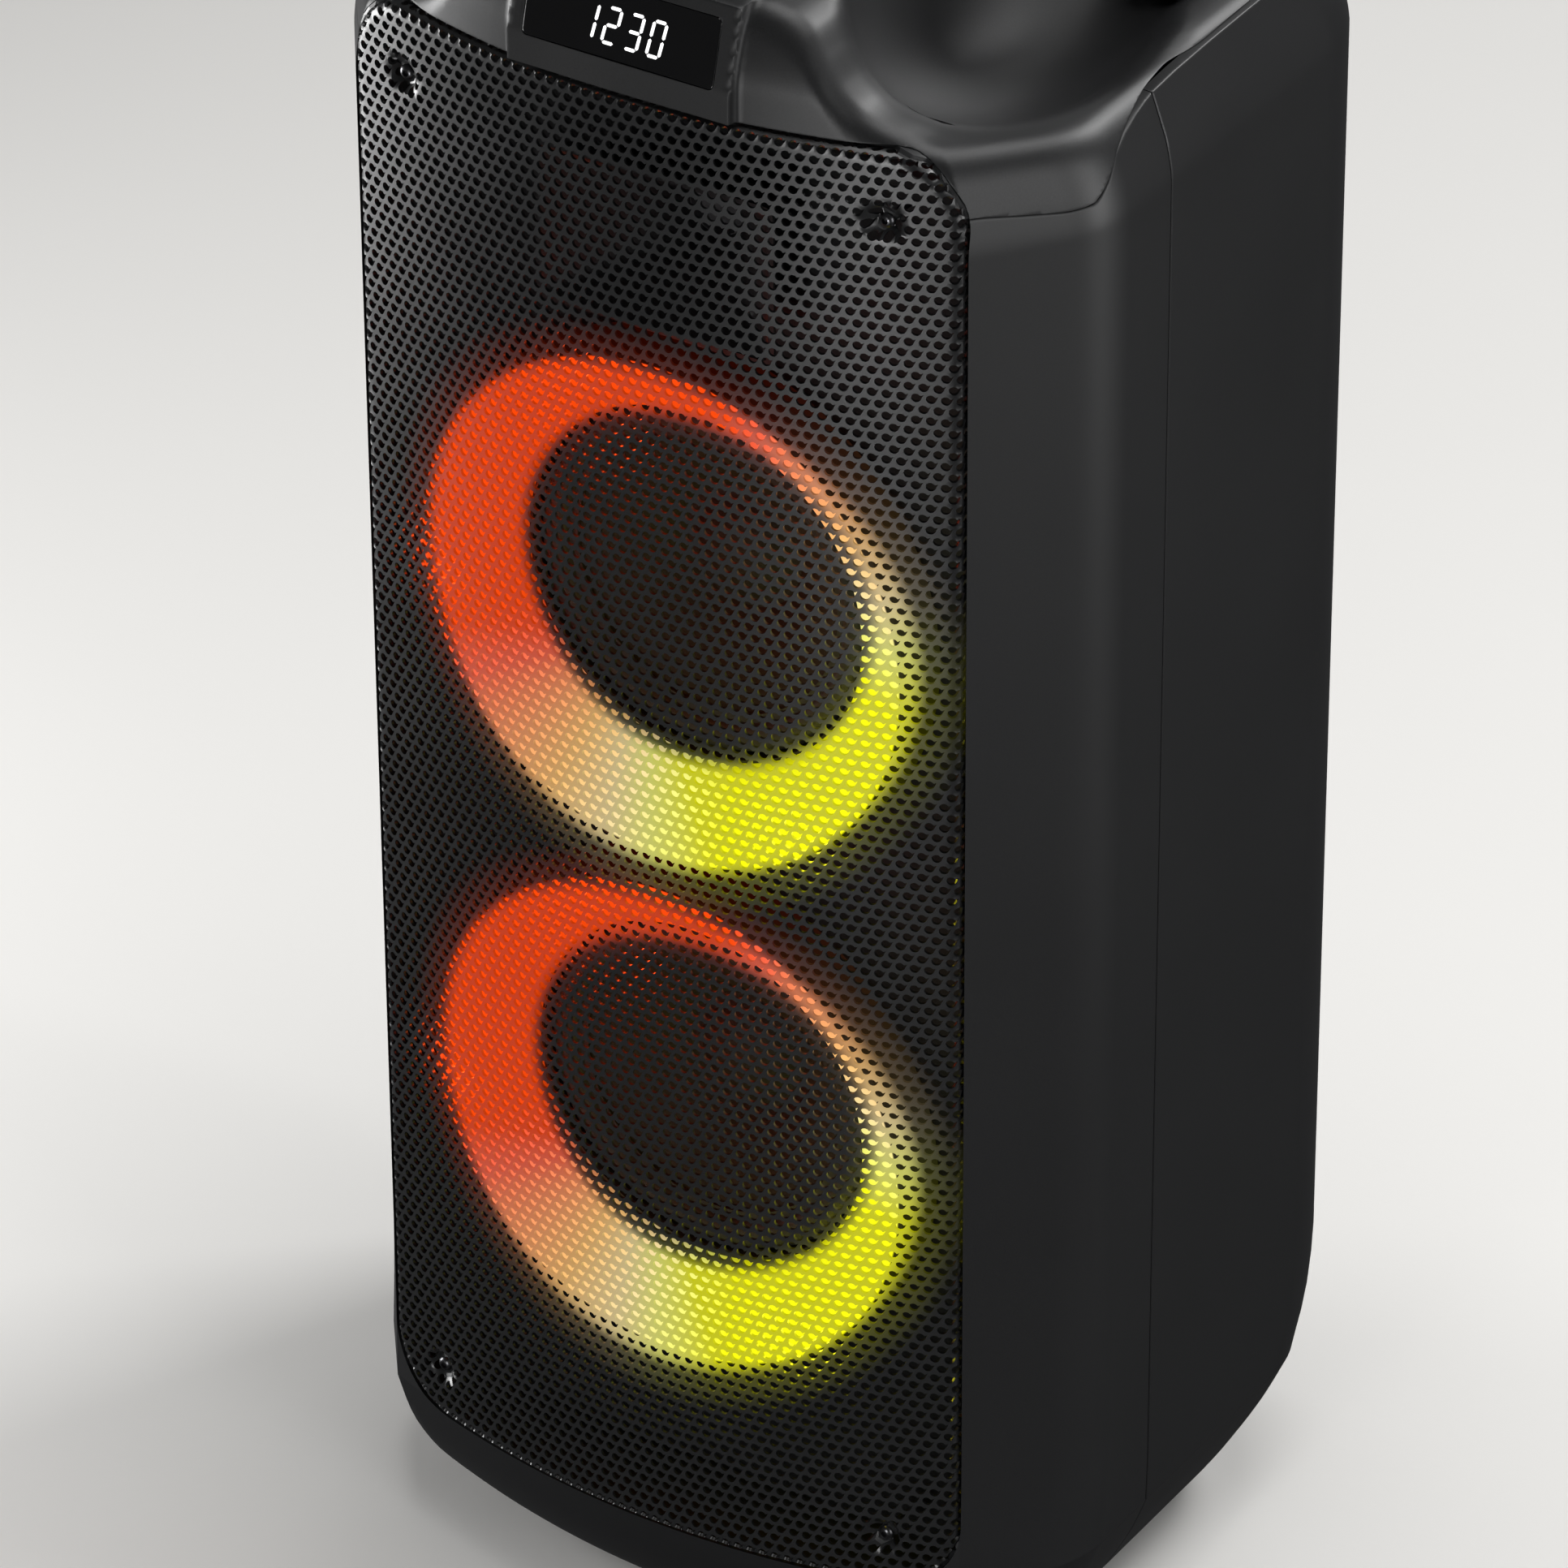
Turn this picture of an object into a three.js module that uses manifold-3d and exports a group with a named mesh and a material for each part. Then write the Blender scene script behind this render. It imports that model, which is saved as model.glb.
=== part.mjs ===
// Tower party loudspeaker: two light-ringed woofers and a horn behind one bowed grille.
// Millimetres. Origin on the floor under the middle of the cabinet, front faces -Y, +Z is up.
import * as THREE from "three";
import { mergeVertices } from "three/addons/utils/BufferGeometryUtils.js";
import Module from "manifold-3d";

const wasm = await Module();
wasm.setup();

// ---- overall sizes ----
const WIDTH = 325;
const DEPTH = 280;
const HEIGHT = 760;
const WALL = 4;
const GAP = 0.3;

// ---- cabinet plan ----
const HALF_W = WIDTH / 2;
const FRONT_Y = -DEPTH / 2;
const REAR_Y = DEPTH / 2;
const BOW_RISE = 24.7;
const FACE_STEP = 1.4;
const FACE_Y = FRONT_Y + FACE_STEP;
const STRIP_W = 31;
const STRIP_X = HALF_W - STRIP_W;
const STRIP_ANGLE = THREE.MathUtils.degToRad(54);
const RIDGE_R = 50;
const REAR_CORNER_R = 55;
const FRONT_SHELL_DEPTH = 113.5;
const SHELL_SEAM_Y = FRONT_Y + FRONT_SHELL_DEPTH;

// ---- cabinet heights ----
const FLOOR_Z = 5;
const CREASE_Z = 61;
const TOP_H = 115;
const SHOULDER_Z = HEIGHT - TOP_H;
const CAP_SEAM_FRONT_Z = SHOULDER_Z + 11;
const CAP_SEAM_REAR_Z = SHOULDER_Z + 35;
const DECK_Z = SHOULDER_Z + 40;
const CONSOLE_Z = SHOULDER_Z + 84;
const CROWN_BASE_Z = SHOULDER_Z - 45;

// ---- grille ----
const GRILLE_EDGE = 1.5;
const GRILLE_HALF_W = STRIP_X - GRILLE_EDGE;
const GRILLE_Z0 = 59;
const GRILLE_Z1 = SHOULDER_Z + 39.5;
const GRILLE_CORNER_R = 30;
const GRILLE_T = 1.4;
const GRILLE_LIP_Y = FRONT_Y + 33;
const GRILLE_SLOT = 1.5;
const SCREW_INSET = 27.4;
const GRILLE_SCREW_X = GRILLE_HALF_W - SCREW_INSET;
const GRILLE_SCREW_Z = [GRILLE_Z0 + 22.5, GRILLE_Z1 - SCREW_INSET - 0.1];
const CUP_R = 7.6;
const CUP_DEPTH = 4;
const SCREW_SHANK_R = 1.5;

// ---- baffle ----
const BAFFLE_Y = FRONT_Y + 48;
const BAFFLE_T = 8;
const RING_Y = FRONT_Y + 23;
const RING_RISE = BAFFLE_Y - RING_Y;

// ---- horn ----
const HORN_DROP = 74;
const HORN_Z = GRILLE_Z1 - HORN_DROP;
const HORN_MOUTH = [98, 61];
const HORN_WALL = 3;
const HORN_THROAT = 24;
const HORN_DEPTH = 42;
const HORN_HOLE = [70, 54];
const HORN_SEAT = [86, 64];

// ---- light rings and woofers ----
const THROAT_R = 74;
const RING_BAND = 31;
const RING_R = THROAT_R + RING_BAND;
const RING_FLANGE = 2;
const RING_SPACE = 12.4;
const HORN_SPACE = 11.8;
const WOOFER_SPACING = 2 * (RING_R + RING_FLANGE) + RING_SPACE;
const UPPER_WOOFER_Z = HORN_Z - HORN_MOUTH[1] / 2 - HORN_WALL - HORN_SPACE - RING_FLANGE - RING_R;
const SURROUND_R = THROAT_R - 1.4;
const SURROUND_W = 15.1;
const CONE_R = SURROUND_R - SURROUND_W + 3;
const NECK_R = 16;
const NECK_DEPTH = 33.2;
const COIL_DEPTH = 68;
const DOME_R = 25;
const BASKET_DEPTH = 52.5;
const BASKET_BACK_R = 50;
const SPIDER_DEPTH = 38;
const MAGNET_R = 50;

// ---- top console ----
const CONSOLE_HALF_W = 47.5;
const NOSE_WALL = 4.5;
const WINDOW_W = 81;
const WINDOW_H = 26.3;
const WINDOW_T = 2;
const WINDOW_TILT = THREE.MathUtils.degToRad(15.2);
const WINDOW_Z = SHOULDER_Z + 53;
const DISH_X = CONSOLE_HALF_W + 54.5;
const DISH_Y = FRONT_Y + 114;
const DISH_SIZE = [50, 97, 70];
const DISH_Z = CAP_SEAM_REAR_Z + 55;
const PANEL_HALF_W = 46;
const PANEL_HALF_L = 50;
const PANEL_Y = FRONT_Y + 68;
const PANEL_T = 6;
const PANEL_R = 8;
const PANEL_SHELF = 5;
const BUTTON_SIZE = [15, 9];
const BUTTON_R = 2.5;
const BUTTON_PROUD = 2;
const BUTTON_STEM_R = 2;
const BUTTON_STEM_L = 9.5;
const BUTTON_ROW = PANEL_HALF_L - 14;
const KNOB_R = 17;
const KNOB_SHAFT_R = 3;
const CONTROL_BOARD_DROP = 12.5;

// ---- carry handle ----
const HANDLE_INSET = 28.5;
const HANDLE_HALF_W = HALF_W - HANDLE_INSET;
const HANDLE_HALF_D = 17;
const HANDLE_Y = REAR_Y - 99;
const HANDLE_LEG = 26;
const HANDLE_BAR_T = 22;
const HANDLE_H = HEIGHT - DECK_Z - GAP;

// ---- roundness ----
const RING_SEGMENTS = 28;
const DRIVER_SEGMENTS = 20;
const SMALL_SEGMENTS = 16;
const FINE_SEGMENTS = 10;

// ---- rear ----
const PORT_Z = 300;
const PORT_R = 30;
const PORT_L = 85;
const PORT_RIM = 10;
const TRAY_Z = 520;
const TRAY_W = 150;
const TRAY_H = 100;
const TRAY_R = 8;
const TRAY_DEPTH = 22;
const TRAY_FLOOR_Y = REAR_Y - TRAY_DEPTH;
const TRAY_WALL = 3;
const SMALL_KNOB_R = 7.5;
const SMALL_SHAFT_R = 3;
const ROCKER = [10.8, 17.2];
const INLET_WELL = [18.4, 10];

// ---- inside ----
const AMPLIFIER = [160, 1.6, 120];
const AMPLIFIER_Y = TRAY_FLOOR_Y - 28;
const SINK_Z = 30;
const SINK_SIZE = [120, 40];
const BATTERY = [140, 80, 70];
const BATTERY_Y = FRONT_Y + 175;
const BATTERY_Z = 22;
const SUPPLY = [130, 70, 1.6];
const SUPPLY_Y = REAR_Y - 55;
const SUPPLY_Z = 110;

// ---- feet ----
const FOOT_R = 12;
const FOOT_STEM_R = 3;
const FOOT_STEM_H = 12;
const FOOT_INSET = 74.5;
const FOOT_X = HALF_W - FOOT_INSET;
const FOOT_Y = [FRONT_Y + 76, REAR_Y - 78];

// ---- materials: colour, roughness, metalness ----
function paint(color, roughness, metalness, emissive = 0x000000) {
  return new THREE.MeshStandardMaterial({ color, roughness, metalness, emissive });
}

const CASE = paint(0x1c1d1f, 0.62, 0);
const GLOSS = paint(0x060607, 0.08, 0);
const STEEL_BLACK = paint(0x232527, 0.42, 0.6);
const SCREW = paint(0x2a2a2c, 0.35, 0.9);
const GLOW = paint(0xff6a20, 0.5, 0, 0xff5a10);
const PAPER = paint(0x2a2522, 0.9, 0);
const RUBBER = paint(0x141414, 0.85, 0);
const STEEL = paint(0x9a9ea2, 0.4, 0.9);
const BOARD = paint(0x14442a, 0.6, 0);
const ALUMINIUM = paint(0xb4b6b8, 0.35, 0.9);
const KEY = paint(0x1a1a1c, 0.5, 0);
const PACK = paint(0x24478a, 0.5, 0);
const CLOTH = paint(0x8a6a30, 0.9, 0);

const group = new THREE.Group();

function assembly(parent, x = 0, y = 0, z = 0) {
  const made = new THREE.Group();
  made.position.set(x, y, z);
  parent.add(made);
  return made;
}

// ---- helpers ----
function solid(geometry) {
  const bare = new THREE.BufferGeometry();
  const flat = geometry.index ? geometry.toNonIndexed() : geometry;
  bare.setAttribute("position", flat.getAttribute("position"));
  const merged = mergeVertices(bare, 1e-3);
  return new wasm.Manifold(
    new wasm.Mesh({
      numProp: 3,
      vertProperties: new Float32Array(merged.attributes.position.array),
      triVerts: new Uint32Array(merged.index.array),
    }),
  );
}

function put(parent, name, body, material, x = 0, y = 0, z = 0) {
  const made = body.getMesh();
  const geometry = new THREE.BufferGeometry();
  const points = new Float32Array(made.numVert * 3);
  for (let i = 0; i < made.numVert; i++) {
    for (let k = 0; k < 3; k++) {
      points[i * 3 + k] = made.vertProperties[i * made.numProp + k];
    }
  }
  geometry.setAttribute("position", new THREE.BufferAttribute(points, 3));
  geometry.setIndex(Array.from(made.triVerts));
  geometry.computeVertexNormals();
  const mesh = new THREE.Mesh(geometry, material);
  mesh.name = name;
  mesh.position.set(x, y, z);
  parent.add(mesh);
}

function box(x0, x1, y0, y1, z0, z1) {
  const g = new THREE.BoxGeometry(x1 - x0, y1 - y0, z1 - z0);
  g.translate((x0 + x1) / 2, (y0 + y1) / 2, (z0 + z1) / 2);
  return solid(g);
}

function area(points) {
  let sum = 0;
  points.forEach(([a, b], i) => {
    const [c, d] = points[(i + 1) % points.length];
    sum += a * d - c * b;
  });
  return sum / 2;
}

function prism(points, depth) {
  const shape = new THREE.Shape(points.map(([a, b]) => new THREE.Vector2(a, b)));
  return new THREE.ExtrudeGeometry(shape, { depth, bevelEnabled: false, curveSegments: 1 });
}

function prismXZ(points, y0, y1) {
  const g = prism(points, y1 - y0);
  g.rotateX(Math.PI / 2);
  g.translate(0, y1, 0);
  return solid(g);
}

function prismYZ(points, x0, x1) {
  const g = prism(points, x1 - x0);
  const turn = new THREE.Matrix4();
  turn.makeBasis(
    new THREE.Vector3(0, 1, 0),
    new THREE.Vector3(0, 0, 1),
    new THREE.Vector3(1, 0, 0),
  );
  g.applyMatrix4(turn);
  g.translate(x0, 0, 0);
  return solid(g);
}

function prismXY(points, z0, z1) {
  const g = prism(points, z1 - z0);
  g.translate(0, 0, z0);
  return solid(g);
}

function turned(points, segments) {
  const ordered = area(points) > 0 ? points : [...points].reverse();
  const closed = ordered[0][0] > 0 ? [...ordered, ordered[0]] : ordered;
  const profile = closed.map(([r, h]) => new THREE.Vector2(r, h));
  return new THREE.LatheGeometry(profile, segments);
}

function turnedY(points, segments = 20, x = 0, z = 0) {
  const g = turned(points, segments);
  g.translate(x, 0, z);
  return solid(g);
}

function turnedZ(points, segments = 20, x = 0, y = 0) {
  const g = turned(points, segments);
  g.rotateX(Math.PI / 2);
  g.translate(x, y, 0);
  return solid(g);
}

function rodY(x, z, r, y0, y1, segments = 20) {
  return turnedY([[0, y0], [r, y0], [r, y1], [0, y1]], segments, x, z);
}

function rodZ(x, y, r, z0, z1, segments = 20) {
  return turnedZ([[0, z0], [r, z0], [r, z1], [0, z1]], segments, x, y);
}

function centredBox(w, y0, y1, h) {
  return box(-w / 2, w / 2, y0, y1, -h / 2, h / 2);
}

function centredRect(w, h, r, steps = 4) {
  return roundedRect(-w / 2, w / 2, -h / 2, h / 2, r, steps);
}

function roundedRect(x0, x1, z0, z1, r, steps = 4) {
  const corners = [[x1 - r, z0 + r, -90], [x1 - r, z1 - r, 0], [x0 + r, z1 - r, 90], [x0 + r, z0 + r, 180]];
  const points = [];
  for (const [cx, cz, start] of corners) {
    for (let i = 0; i <= steps; i++) {
      const a = THREE.MathUtils.degToRad(start + (90 * i) / steps);
      points.push([cx + r * Math.cos(a), cz + r * Math.sin(a)]);
    }
  }
  return points;
}

// ---- cabinet outline ----
function bowY(x) {
  return BOW_RISE * (x / STRIP_X) ** 2;
}

function arc(cx, cy, r, from, to, steps) {
  const points = [];
  for (let i = 0; i <= steps; i++) {
    const a = THREE.MathUtils.degToRad(from + ((to - from) * i) / steps);
    points.push([cx + r * Math.cos(a), cy + r * Math.sin(a)]);
  }
  return points;
}

function planHalf() {
  const front = [0, 0.34, 0.7, 1].map((share) => [share * STRIP_X, FACE_Y + bowY(share * STRIP_X)]);
  const turn = (Math.PI / 2 - STRIP_ANGLE) / 2;
  const startY = FACE_Y + bowY(STRIP_X);
  const cornerY = startY + (HALF_W - STRIP_X) * Math.tan(STRIP_ANGLE);
  const centreY = cornerY + RIDGE_R * Math.tan(turn);
  const stripNormal = THREE.MathUtils.radToDeg(STRIP_ANGLE) - 90;
  const ridge = arc(HALF_W - RIDGE_R, centreY, RIDGE_R, stripNormal, 0, 2);
  const rear = arc(HALF_W - REAR_CORNER_R, REAR_Y - REAR_CORNER_R, REAR_CORNER_R, 0, 90, 4);
  return [...front, ...ridge, ...rear];
}

function planOutline(inset) {
  const half = planHalf();
  const mirrored = half.slice(1).reverse().map(([x, y]) => [-x, y]);
  const points = [...half, ...mirrored];
  return points.map(([x, y], i) => {
    const [ax, ay] = points[(i + points.length - 1) % points.length];
    const [bx, by] = points[(i + 1) % points.length];
    const before = new THREE.Vector2(ay - y, x - ax).normalize();
    const after = new THREE.Vector2(y - by, bx - x).normalize();
    const mean = before.clone().add(after).normalize();
    const reach = inset / Math.max(0.5, mean.dot(before));
    return [x + mean.x * reach, y + mean.y * reach];
  });
}

// z, then how far the side, the front and the rear stand in from the full plan
const LEVELS = [
  [FLOOR_Z, 36, 46, 52],
  [10, 27, 27, 47],
  [18, 21, 17, 41],
  [30, 14, 8.5, 34],
  [45, 6.5, 2.5, 24],
  [CREASE_Z, 0.5, 0, 15],
  [85, 0, 0, 4],
  [110, 0, 0, 0],
  [SHOULDER_Z, 0, 0, 0],
  [SHOULDER_Z + 13, 1.8, 0, 2],
  [SHOULDER_Z + 26, 6, 0, 7],
  [SHOULDER_Z + 37, 10, 0.1, 13],
  [SHOULDER_Z + 53, 15, 0.2, 20],
  [SHOULDER_Z + 79, 20, 7.1, 28],
  [SHOULDER_Z + 100, 24, 13, 36],
];

function cabinet(inset, floor) {
  const outline = planOutline(inset);
  const levels = LEVELS.map(([z, side, front, rear]) => [Math.max(z, floor), side, front, rear]);
  const rising = levels.filter(([z], i) => i === 0 || z > levels[i - 1][0]);
  const n = outline.length;
  const vertices = [];
  for (const [z, side, front, rear] of rising) {
    const sx = (HALF_W - side) / HALF_W;
    const sy = (REAR_Y - rear - FACE_Y - front) / (REAR_Y - FACE_Y);
    for (const [x, y] of outline) {
      vertices.push(x * sx, FACE_Y + front + (y - FACE_Y) * sy, z);
    }
  }
  const faces = [];
  for (let k = 0; k + 1 < rising.length; k++) {
    for (let i = 0; i < n; i++) {
      const j = (i + 1) % n;
      const a = k * n + i;
      const b = k * n + j;
      faces.push(a, b, b + n, a, b + n, a + n);
    }
  }
  const top = (rising.length - 1) * n;
  for (let i = 1; i + 1 < n; i++) {
    faces.push(0, i + 1, i);
    faces.push(top, top + i, top + i + 1);
  }
  const g = new THREE.BufferGeometry();
  g.setAttribute("position", new THREE.Float32BufferAttribute(vertices, 3));
  g.setIndex(faces);
  return solid(g);
}

// ---- cap seam: the line that parts the top cap from the two shells ----
function aboveSeam(lift) {
  const points = [
    [FRONT_Y - 10, CAP_SEAM_FRONT_Z + 5 + lift],
    [FRONT_Y + 28, CAP_SEAM_FRONT_Z + 5 + lift],
    [FRONT_Y + 66, CAP_SEAM_FRONT_Z + lift],
    [FRONT_Y + 83, CAP_SEAM_FRONT_Z + 13 + lift],
    [SHELL_SEAM_Y, CAP_SEAM_REAR_Z + lift],
    [REAR_Y + 10, CAP_SEAM_REAR_Z + 3 + lift],
    [REAR_Y + 10, HEIGHT + 20],
    [FRONT_Y - 10, HEIGHT + 20],
  ];
  return prismYZ(points, -HALF_W - 10, HALF_W + 10);
}

function grilleOutline(grow) {
  const r = GRILLE_CORNER_R + grow;
  return roundedRect(-GRILLE_HALF_W - grow, GRILLE_HALF_W + grow, GRILLE_Z0 - grow, GRILLE_Z1 + grow, r, 5);
}

function pocket() {
  return prismXZ(grilleOutline(GRILLE_SLOT), FRONT_Y - 10, BAFFLE_Y - 0.5);
}

function pocketWall() {
  const outer = prismXZ(grilleOutline(GRILLE_SLOT + 3), FRONT_Y - 10, BAFFLE_Y + 1);
  const inner = prismXZ(grilleOutline(GRILLE_SLOT), FRONT_Y - 12, BAFFLE_Y + 2);
  return outer.subtract(inner).intersect(cabinet(1, FLOOR_Z));
}

function wooferZ(index) {
  return UPPER_WOOFER_Z - index * WOOFER_SPACING;
}

// ---- shells ----
function baffle() {
  const y1 = BAFFLE_Y + BAFFLE_T;
  const top = CAP_SEAM_FRONT_Z - 1;
  const main = box(-HALF_W, HALF_W, BAFFLE_Y, y1, FLOOR_Z, top);
  const tab = GRILLE_HALF_W - 18;
  let plate = main.intersect(cabinet(1, FLOOR_Z)).add(box(-tab, tab, BAFFLE_Y, y1, top - 1, top + 13));
  for (const index of [0, 1]) {
    plate = plate.subtract(rodY(0, wooferZ(index), THROAT_R - 1, BAFFLE_Y - 1, y1 + 1, DRIVER_SEGMENTS));
  }
  const [w, h] = HORN_HOLE;
  return plate.subtract(box(-w / 2, w / 2, BAFFLE_Y - 1, y1 + 1, HORN_Z - h / 2, HORN_Z + h / 2));
}

function grilleBoss(x, z) {
  const y0 = FRONT_Y + bowY(GRILLE_SCREW_X) + CUP_DEPTH + GRILLE_T + GAP;
  const post = rodY(x, z, 5, y0, BAFFLE_Y + 1, 16);
  return post.subtract(rodY(x, z, SCREW_SHANK_R + GAP, y0 - 1, BAFFLE_Y - 6, 12));
}

function frontShell() {
  const hollow = cabinet(WALL, FLOOR_Z + WALL);
  const half = box(-HALF_W - 5, HALF_W + 5, FRONT_Y - 5, SHELL_SEAM_Y - GAP / 2, 0, HEIGHT);
  let shell = cabinet(0, FLOOR_Z).subtract(hollow);
  shell = shell.add(pocketWall()).subtract(pocket());
  shell = shell.subtract(aboveSeam(-GAP)).add(baffle()).intersect(half);
  for (const x of [-GRILLE_SCREW_X, GRILLE_SCREW_X]) {
    for (const z of GRILLE_SCREW_Z) shell = shell.add(grilleBoss(x, z));
    shell = shell.subtract(footHole(Math.sign(x) * FOOT_X, FOOT_Y[0]));
  }
  return shell;
}

function footHole(x, y) {
  return rodZ(x, y, FOOT_STEM_R + GAP, 0, FLOOR_Z + 15, 12);
}

function rearShell() {
  const hollow = cabinet(WALL, FLOOR_Z + WALL);
  const half = box(-HALF_W - 5, HALF_W + 5, SHELL_SEAM_Y + GAP / 2, REAR_Y + 5, 0, HEIGHT);
  let shell = cabinet(0, FLOOR_Z).subtract(hollow).subtract(aboveSeam(-GAP)).intersect(half);
  shell = shell.subtract(rodY(0, PORT_Z, PORT_R + PORT_RIM + 1, REAR_Y - 15, REAR_Y + 5, DRIVER_SEGMENTS));
  const slot = roundedRect(-TRAY_W / 2, TRAY_W / 2, TRAY_Z - TRAY_H / 2, TRAY_Z + TRAY_H / 2, TRAY_R);
  shell = shell.subtract(prismXZ(slot, REAR_Y - 15, REAR_Y + 5));
  for (const x of [-FOOT_X, FOOT_X]) shell = shell.subtract(footHole(x, FOOT_Y[1]));
  return shell;
}

// ---- top cap ----
const RISE_Y = [PANEL_Y + PANEL_HALF_L + 14, PANEL_Y + PANEL_HALF_L + 36];

function coveHalf(drop) {
  const z = SHOULDER_Z - drop;
  return [
    [HALF_W + 5, z + 32], [150, z + 36], [125, z + 38], [113, z + 40], [103, z + 44], [91, z + 50],
    [83, z + 58], [76, z + 68], [69, z + 77], [60, z + 82], [50, z + 84],
  ];
}

function crown(drop) {
  const right = coveHalf(drop);
  const left = right.map(([x, z]) => [-x, z]).reverse();
  const foot = [[-HALF_W - 5, CROWN_BASE_Z], [HALF_W + 5, CROWN_BASE_Z]];
  const cove = prismXZ([...foot, ...right, ...left], FRONT_Y - 10, RISE_Y[1] + 6);
  const rise = prismYZ(
    [
      [FRONT_Y - 10, CROWN_BASE_Z], [RISE_Y[1] + 26, CROWN_BASE_Z], [RISE_Y[1] + 26, DECK_Z - drop],
      [RISE_Y[1] - drop, DECK_Z - drop], [RISE_Y[0] - drop, CONSOLE_Z - drop],
      [FRONT_Y - 10, CONSOLE_Z - drop],
    ],
    -HALF_W - 5,
    HALF_W + 5,
  );
  const deck = box(-HALF_W - 5, HALF_W + 5, RISE_Y[1] - 14, REAR_Y + 10, CROWN_BASE_Z, DECK_Z - drop);
  return cove.intersect(rise).add(deck);
}

function dish(side, grow) {
  const g = new THREE.SphereGeometry(1, 20, 12);
  g.rotateX(Math.PI / 2);
  g.scale(...DISH_SIZE.map((size) => size + grow));
  g.translate(side * DISH_X, DISH_Y, DISH_Z);
  return solid(g);
}

function consoleNose(shrink) {
  const y = FACE_Y + shrink;
  const back = y + 70;
  const points = [
    [y, GRILLE_Z1 + 3 + shrink],
    [y, WINDOW_Z],
    [y + (CONSOLE_Z - WINDOW_Z) * Math.tan(WINDOW_TILT), CONSOLE_Z - shrink],
    [back, CONSOLE_Z - shrink],
    [back, GRILLE_Z1 + 3 + shrink],
  ];
  return prismYZ(points, -CONSOLE_HALF_W + shrink, CONSOLE_HALF_W - shrink);
}

function windowSlab(grow, thickness, setback) {
  const g = new THREE.BoxGeometry(WINDOW_W + grow, thickness, WINDOW_H + grow);
  g.translate(0, thickness / 2 + setback, WINDOW_H / 2);
  return g;
}

function windowCut(grow, thickness, setback) {
  const g = windowSlab(grow, thickness, setback);
  g.rotateX(-WINDOW_TILT);
  g.translate(0, FACE_Y, WINDOW_Z);
  return solid(g);
}

function topCap() {
  const seam = aboveSeam(0);
  const inside = cabinet(3.5, FLOOR_Z).intersect(crown(3.5)).add(consoleNose(NOSE_WALL));
  let wall = cabinet(0, FLOOR_Z).intersect(crown(0)).add(consoleNose(0)).intersect(seam);
  let hollow = inside;
  for (const side of [-1, 1]) hollow = hollow.subtract(dish(side, 3));
  wall = wall.add(pocketWall().intersect(seam).subtract(pocket())).subtract(hollow.subtract(pocketWall()));
  for (const side of [-1, 1]) {
    const tub = dish(side, 3).intersect(cabinet(5, FLOOR_Z)).intersect(crown(0.5));
    wall = wall.add(tub).subtract(dish(side, 0));
  }
  wall = wall.subtract(pocket());
  wall = wall.subtract(windowCut(2 * GAP, WINDOW_T + GAP + 1, -1)).subtract(windowCut(-8, 12, -1));
  const halfW = PANEL_HALF_W - PANEL_SHELF;
  const halfL = PANEL_HALF_L - PANEL_SHELF;
  const well = roundedRect(-halfW, halfW, PANEL_Y - halfL, PANEL_Y + halfL, 5);
  return wall.subtract(prismXY(well, CONSOLE_Z - 8, CONSOLE_Z + 5));
}

// ---- grille ----
function bowedSlab(shift) {
  const front = [];
  for (let i = -6; i <= 6; i++) {
    const x = (i / 6) * (GRILLE_HALF_W + 1);
    front.push([x, FRONT_Y + shift + bowY(x)]);
  }
  const xMax = GRILLE_HALF_W + 1;
  const back = GRILLE_LIP_Y + shift;
  return prismXY([...front, [xMax, back], [-xMax, back]], GRILLE_Z0 - 1, GRILLE_Z1 + 1);
}

function screwCup(x, z) {
  const y = FRONT_Y + bowY(GRILLE_SCREW_X);
  const wall = GRILLE_T;
  const points = [
    [2.1, y + CUP_DEPTH], [CUP_R - wall, y + CUP_DEPTH], [CUP_R - wall, y - 1.2], [CUP_R + 1, y - 1.2],
    [CUP_R, y + CUP_DEPTH + wall], [2.1, y + CUP_DEPTH + wall],
  ];
  return turnedY(points, FINE_SEGMENTS, x, z);
}

function grille() {
  const sheet = bowedSlab(0).intersect(prismXZ(grilleOutline(0), FRONT_Y - 5, GRILLE_LIP_Y));
  const opening = prismXZ(grilleOutline(-GRILLE_T), FRONT_Y - 5, GRILLE_LIP_Y + 5);
  const inner = bowedSlab(GRILLE_T).intersect(opening);
  let made = sheet.subtract(inner);
  for (const x of [-GRILLE_SCREW_X, GRILLE_SCREW_X]) {
    for (const z of GRILLE_SCREW_Z) {
      made = made.subtract(rodY(x, z, CUP_R, FRONT_Y, FRONT_Y + 30, FINE_SEGMENTS));
      const cup = screwCup(x, z).intersect(bowedSlab(0));
      made = made.add(cup);
    }
  }
  return made;
}

function grilleScrew() {
  const r = SCREW_SHANK_R;
  const points = [
    [0, -1.0], [1.3, -1.0], [1.5, -2.2], [2.9, -1.6], [3.2, -0.8], [3.2, 0], [r, 0], [r, 14], [0, 15],
  ];
  return turnedY(points, FINE_SEGMENTS - 4);
}

// ---- light rings: Y is measured back from the front of the baffle ----
function lightRing() {
  const rim = 0.5 - RING_RISE - 1;
  const outer = RING_R + RING_FLANGE;
  const inner = RING_R - 0.5;
  const points = [
    [THROAT_R, -GAP], [THROAT_R + 2, -GAP - 3.5], [THROAT_R + 10.5, -GAP - 10], [inner, rim],
    [outer, rim], [outer, -GAP], [inner, -GAP],
    [inner, rim + 4], [THROAT_R + 11.5, -GAP - 6.5], [THROAT_R + 4, -GAP],
  ];
  return turnedY(points, RING_SEGMENTS);
}

function ledBoard() {
  const inner = THROAT_R + 14;
  const outer = RING_R - 2;
  return turnedY([[inner, -3], [outer, -3], [outer, -1.4], [inner, -1.4]], SMALL_SEGMENTS);
}

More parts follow.
